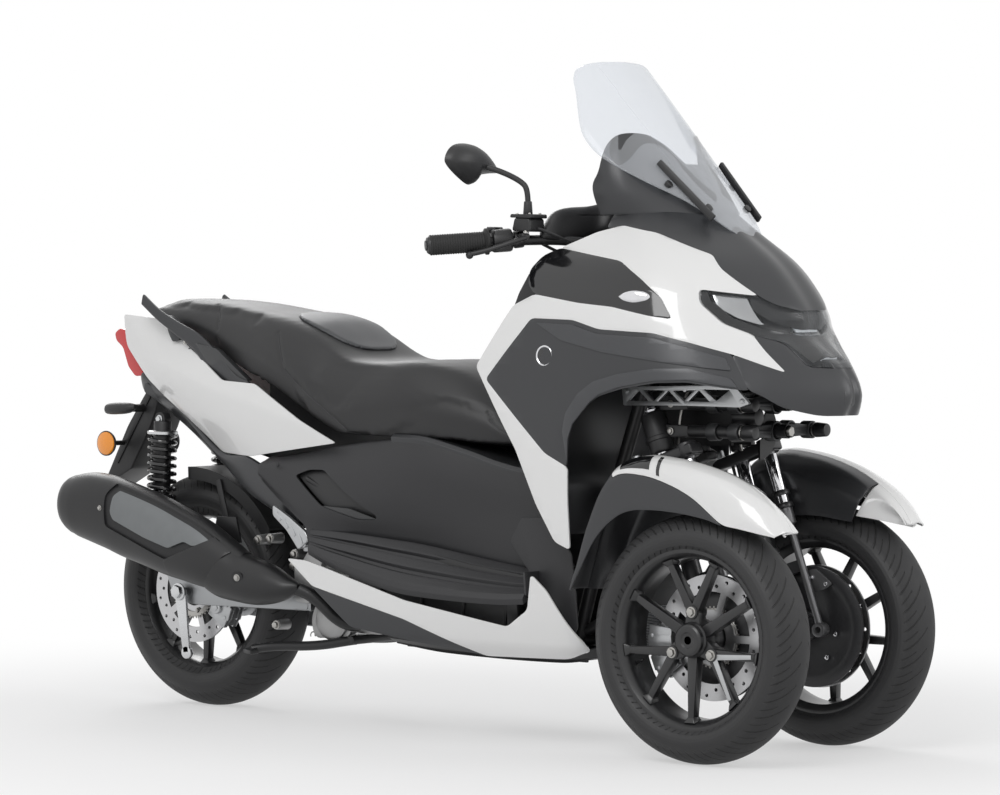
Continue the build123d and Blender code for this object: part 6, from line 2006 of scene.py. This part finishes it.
windows = {
    "light": [(680, 975), (696, 984), (716, 988), (736, 985), (749, 977), (746, 968), (732, 963), (712, 961),
        (692, 966)],
    "lightSpot": (715, 975), "badgeSpot": (496, 848), "outside": 290, "slant": 0.28,
    "ring": [(0, 19), (0, 23), (3.5, 22), (4.5, 20), (3.5, 18.5), (1, 18)],
    "face": [(0, 0), (0, 19), (2.6, 19), (3.4, 10), (3.6, 0)],
    "edge": [(386, 1026), (356, 981), (329, 922), (352, 912), (402, 978), (406, 1021)],
    "foot": [(318, 440), (350, 494), (412, 496), (486, 424), (498, 345), (505, 262), (490, 240), (440, 240),
        (384, 300), (376, 372)],
}


def makeWindowLights():
    # small oval lights on the dark windows, and a blank round badge on each leg shield
    ovals, rings, faces = [], [], []
    lightX, lightZ = windows["lightSpot"]
    badgeX, badgeZ = windows["badgeSpot"]
    outside, slant = windows["outside"], windows["slant"]
    for side in (1, -1):
        spot = onto(bpy.data.objects["sideWindows"], [(lightX, side * outside, lightZ)], 0)[0]
        ovals.append(podOf("windowLight", windows["light"],
                           lambda a, b, lift: (a, spot[1] + side * (lift - (a - lightX) * slant), b), 7))
        spot = onto(bpy.data.objects["legShields"], [(badgeX, side * outside, badgeZ)], 0)[0]
        for parts, name in ((rings, "ring"), (faces, "face")):
            parts.append(lathe("badge", windows[name], spot, (0.02, side, 0.02), (0, 0, 1), 48))
    done(join(ovals, "windowLights"), "chassis", "lamp_metal", chromed)
    done(join(rings, "badgeRings"), "chassis", "bright_alloy", chromed)
    done(join(faces, "badgeFaces"), "chassis", "black_gloss", glossBlack)
    edges = []
    for side in (1, -1):
        edges.append(flank("shieldEdge", windows["edge"], side, 204, 213, 6, 3, 3))
        edges.append(flank("shieldFoot", windows["foot"], side, 187, 193, 6, 2, 2))
    done(join(edges, "shieldEdges"), "chassis", "black_plastic", sideGrain)


makeWindowLights()
print("lamps done")

linkage = {
    "heights": (690, 748), "half": 132, "rods": 706, "front": 925,
    "lattice": [(600, 742), (596, 782), (890, 790), (930, 752), (905, 744), (760, 745)],
    "latticeHoles": [[(612, 752), (640, 776), (668, 752)], [(652, 776), (680, 752), (708, 776)],
        [(692, 752), (720, 776), (748, 752)],
                     [(732, 776), (760, 754), (788, 778)], [(772, 754), (800, 778), (828, 754)],
                     [(812, 780), (845, 756), (880, 780)]],
}


def makeLinkage():
    arms, heads, steel = [], [], []
    half = linkage["half"]
    for z in linkage["heights"]:
        for x in (812, 868):
            for side in (1, -1):
                arms.append(strut("leanArm", (x + 11, side * 8, z), (x + 11, side * half, z), (0, 0, 1),
                    (22, 18), (30, 22), 3))
                arms.append(strut("armRib", (x + 11, side * 20, z), (x + 11, side * 112, z), (0, 0, 1),
                    (26, 22), (8, 6), 2))
            for y, r in ((-half, 19), (0, 22), (half, 19)):
                arms.append(lathe("armBoss", [(-2, r - 5), (-2, r), (24, r), (24, r - 5)], (x, y, z),
                    (1, 0, 0), (0, 0, 1), 36, edge=1.5))
        for y in (-half, half):
            heads.append(bar("headShaft", (linkage["rods"], y, z), (linkage["front"] - 14, y, z), 13, 13, 32,
                1))
            heads.append(bar("rubberCap", (linkage["front"] - 26, y, z), (linkage["front"] + 4, y, z), 16.5,
                14, 36, 3))
            steel.append(nut("shaftNut", (896, y, z), (1, 0, 0), 24, 8))
        heads.append(bar("middleShaft", (780, 0, z), (920, 0, z), 14.5, 14.5, 32, 1))
        steel.append(nut("middleNut", (916, 0, z), (1, 0, 0), 22, 12))
    axis = onFork(0, 0, 1) - onFork(0, 0, 0)
    for side in (1, -1):
        y = side * steering["legs"]
        ring = [(414, 17), (414, 26), (420, 28), (498, 28), (504, 25), (504, 17)]
        heads.append(lathe("sideHead", ring, onFork(y, 0, 0), axis, (0, 1, 0), 48, edge=1.5))
        heads.append(lathe("headSeal", [(440, 27), (442, 30), (450, 30), (452, 27)], onFork(y, 0, 0), axis,
            (0, 1, 0), 48))
        for z in linkage["heights"]:
            heads.append(strut("headWeb", (690, side * 138, z), (760, side * 134, z), (0, 0, 1), (26, 22),
                (30, 24), 3))
            steel.append(nut("webBolt", (720, side * 150, z), (0, side, 0), 12, 6))
        # tilt lock: a toothed quadrant and its small motor on the middle frame
        steel.append(tube("brakePipe", [(800, side * 42, 800), (760, side * 70, 806), (720, side * 92, 780),
            (705, side * 104, 700), (716, side * 116, 640)], 3.2, sides=3))
    heads.append(lathe("lockPlate", [(0, 20), (0, 62), (4, 62), (4, 20)], (842, 0, 690), (1, 0, 0),
        (0, 0.5, 0.87), 40, 150))
    heads.append(bar("lockMotor", (846, -86, 722), (905, -86, 722), 20, 18, 32, 2))
    heads.append(bar("reservoir", (640, 96, 838), (640, 96, 882), 20, 20, 32, 3))
    done(join(arms, "leanArms"), "chassis", "frame_black", castAlloyDark, "lean_arms")
    done(join(heads, "sideHeads"), "chassis", "frame_black", framePaint, "side_heads")
    done(join(steel, "linkageBolts"), "chassis", "bright_alloy", boltSteel)
    sides = []
    for low in (150, -158):
        plate = slab("lattice", linkage["lattice"], low, low + 8, 4)
        for hole in linkage["latticeHoles"]:
            cut(plate, slab("tool", hole, low - 2, low + 10, 2))
        soften(plate, 1, 2, 40)
        sides.append(shade(plate))
        side = 1 if low > 0 else -1
        sides.append(bar("latticeStay", (756, side * 40, 778), (756, side * 150, 778), 5, 5, 20, 0.5))
        for x in (608, 912):
            sides.append(nut("latticeBolt", (x, side * 158, 757 if x > 700 else 772), (0, side, 0), 9, 4))
    done(join(sides, "latticeBracket"), "chassis", "bright_alloy", silverPaint, "lattice_bracket")


castAlloyDark = metalOf("castAlloyDark", (0.055, 0.056, 0.058), 0.45, (260, 0.5, 0.15), 0.5)
makeLinkage()
print("linkage done")


lower = {
    # x, half width and height of the pan's edge, then of its flat bottom
    "pan": [(-60, 150, 206, 120, 192), (120, 174, 202, 148, 184), (430, 174, 202, 148, 182),
        (500, 150, 210, 124, 190),
            (526, 126, 220, 98, 202)],
    "wall": [(-150, 432), (60, 410), (200, 386), (396, 364), (430, 300), (432, 204), (120, 204), (-40, 236),
        (-150, 330)],
    # x, half width and height of the tray between the side covers
    "tray": [(-30, 180, 654), (60, 180, 650), (174, 158, 621), (250, 146, 598), (330, 131, 584),
        (392, 122, 600)],
    "leg": [(-205, 100, 190), (-206, 112, 190), (-300, 130, 172), (-423, 150, 168), (-455, 174, 160)],
    "rest": [(-364, 497), (-314, 471), (-262, 438), (-254, 420), (-285, 396), (-322, 440), (-364, 472)],
    "cooler": [(560, 205), (572, 205), (568, 300), (552, 340), (542, 420), (554, 560), (540, 560),
        (526, 420)],
    "hose": [(560, 80, 296), (520, 96, 280), (440, 100, 236), (300, 92, 226)],
}


def makeLower():
    # pan under the floor with its long ribs and drain slots
    pan = sectionSkin("bellyPan", lower["pan"],
                      lambda row: [(-row[1], row[2]), (-row[3] - 8, row[4] + 4), (-row[3] + 6, row[4]),
                          (0, row[4] - 1), (row[3] - 6, row[4]), (row[3] + 8, row[4] + 4), (row[1], row[2])],
                      60, 60, closed=False)
    thickened(pan, 4, (0, 0, -1), even=False)
    for x in (20, 110, 330):
        for y in (-60, 0, 60):
            cut(pan, slab("tool", [(x, 120), (x + 50, 120), (x + 50, 210), (x, 210)], y - 6, y + 6, 0))
    soften(pan, 1, 2, 40)
    parts = [shade(pan, 35)]
    parts += [strut("panRib", (-40, y, 189), (470, y, 183), (0, 0, 1), (8, 8), (6, 6), 1.5)
        for y in (-110, -30, 30, 110)]
    # inner walls under the foot boards and the trays at their front
    for side in (1, -1):
        parts.append(flank("floorWall", lower["wall"], side, 184, 189, 8, 1.5, 2))
        for x in (-60, 60, 180, 300):
            parts.append(strut("wallRib", (x, side * 190, 240), (x + 14, side * 190, 372 - x * 0.1),
                (0, side, 0), (8, 8), (6, 6), 1.5))
        parts.append(strut("boardStay", (330, side * 190, 236), (352, side * 222, 318), (0, 1, 0), (30, 30),
            (12, 12), 2))
    done(join(parts, "bellyPan"), "chassis", "black_plastic", blackPlastic, "belly_pan")
    trays = []
    for side in (1, -1):
        def lip(row):
            x, y, z = row
            return [(side * py, pz) for py, pz in ((y + 2, z - 8), (y + 5, z + 4), (y - 4, z + 12),
                (y - 40, z + 9), (40, z + 12), (40, z - 8), (y - 30, z - 10), (y + 2, z - 8))]
        tray = sectionSkin("knobTray", lower["tray"], lip, 56, 50, sharp=True)
        soften(tray, 2, 3, 30)
        trays.append(shade(tray, 40))
    done(join(trays, "coverTrays"), "chassis", "black_plastic", darkSatin)
    # stand: two legs, feet, spring and its foot bar
    legs, bright = [], []
    for side in (1, -1):
        legs.append(tube("standLeg", [(x, side * y, z) for x, y, z in lower["leg"]], 11, sides=6))
        legs.append(strut("standFoot", (-452, side * 164, 158), (-462, side * 186, 154), (0, 0, 1), (34, 44),
            (16, 10), 3))
        bright.append(tube("standSpring", [(-210 - 3.2 * k + 0.6 * math.sin(k),
            side * 92 + 6 * math.cos(k * 1.57), 196 + 6 * math.sin(k * 1.57)) for k in range(44)], 1.3,
            sides=2))
    legs.append(bar("standPivot", (-205, -118, 190), (-205, 118, 190), 10, 10, 28, 1))
    legs.append(bar("standCross", (-330, -132, 171), (-330, 132, 171), 8, 8, 24, 1))
    legs.append(strut("standTread", (-425, 152, 172), (-425, 206, 176), (0, 0, 1), (22, 26), (9, 7), 2))
    done(join(legs, "centreStand"), "centre_stand", "frame_black", framePaint, "centre_stand")
    done(join(bright, "standSprings"), "centre_stand", "spring_steel", boltSteel)
    # pillion foot rests folded against the body, and their hangers
    pegs = []
    for side in (1, -1):
        pegs.append(flank("footRest", lower["rest"], side, 196, 208, 7, 3, 3))
        for k in range(4):
            pegs.append(strut("restRib", (-350 + k * 22, side * 208, 480 - k * 15),
                (-338 + k * 22, side * 208, 462 - k * 17), (0, side, 0), (7, 7), (4, 4), 1.2))
        pegs.append(bar("restPivot", (-275, side * 176, 412), (-275, side * 204, 412), 11, 10, 28, 1.5))
        pegs.append(strut("restHanger", (-290, side * 150, 410), (-268, side * 190, 398), (0, 0, 1), (30, 26),
            (12, 12), 3))
    done(join(pegs, "pillionRests"), "chassis", "bright_alloy", silverPaint)
    # radiator behind the wheels: frame, core fins and hoses
    core, fins = [slab("coolerFrame", lower["cooler"], -100, 100, 3, 2, 2)], []
    for k in range(26):
        z = 215 + k * 3.4
        fins.append(blockOf("fin", (571, -84, z), (575, 84, z + 1.2), 0))
    core += [bar("frameEdge", (568, y, 212), (565, y, 300), 7, 7, 20, 1) for y in (-90, 90)]
    core += [tube("coolantHose", [(x, side * y, z) for x, y, z in lower["hose"]], 13, sides=5)
        for side in (1, -1)]
    done(join(core, "coolerFrame"), "chassis", "black_plastic", blackPlastic, "radiator_shield")
    done(join(fins, "coolerFins"), "chassis", "cast_alloy", castAlloy)


makeLower()
print("lower parts done")
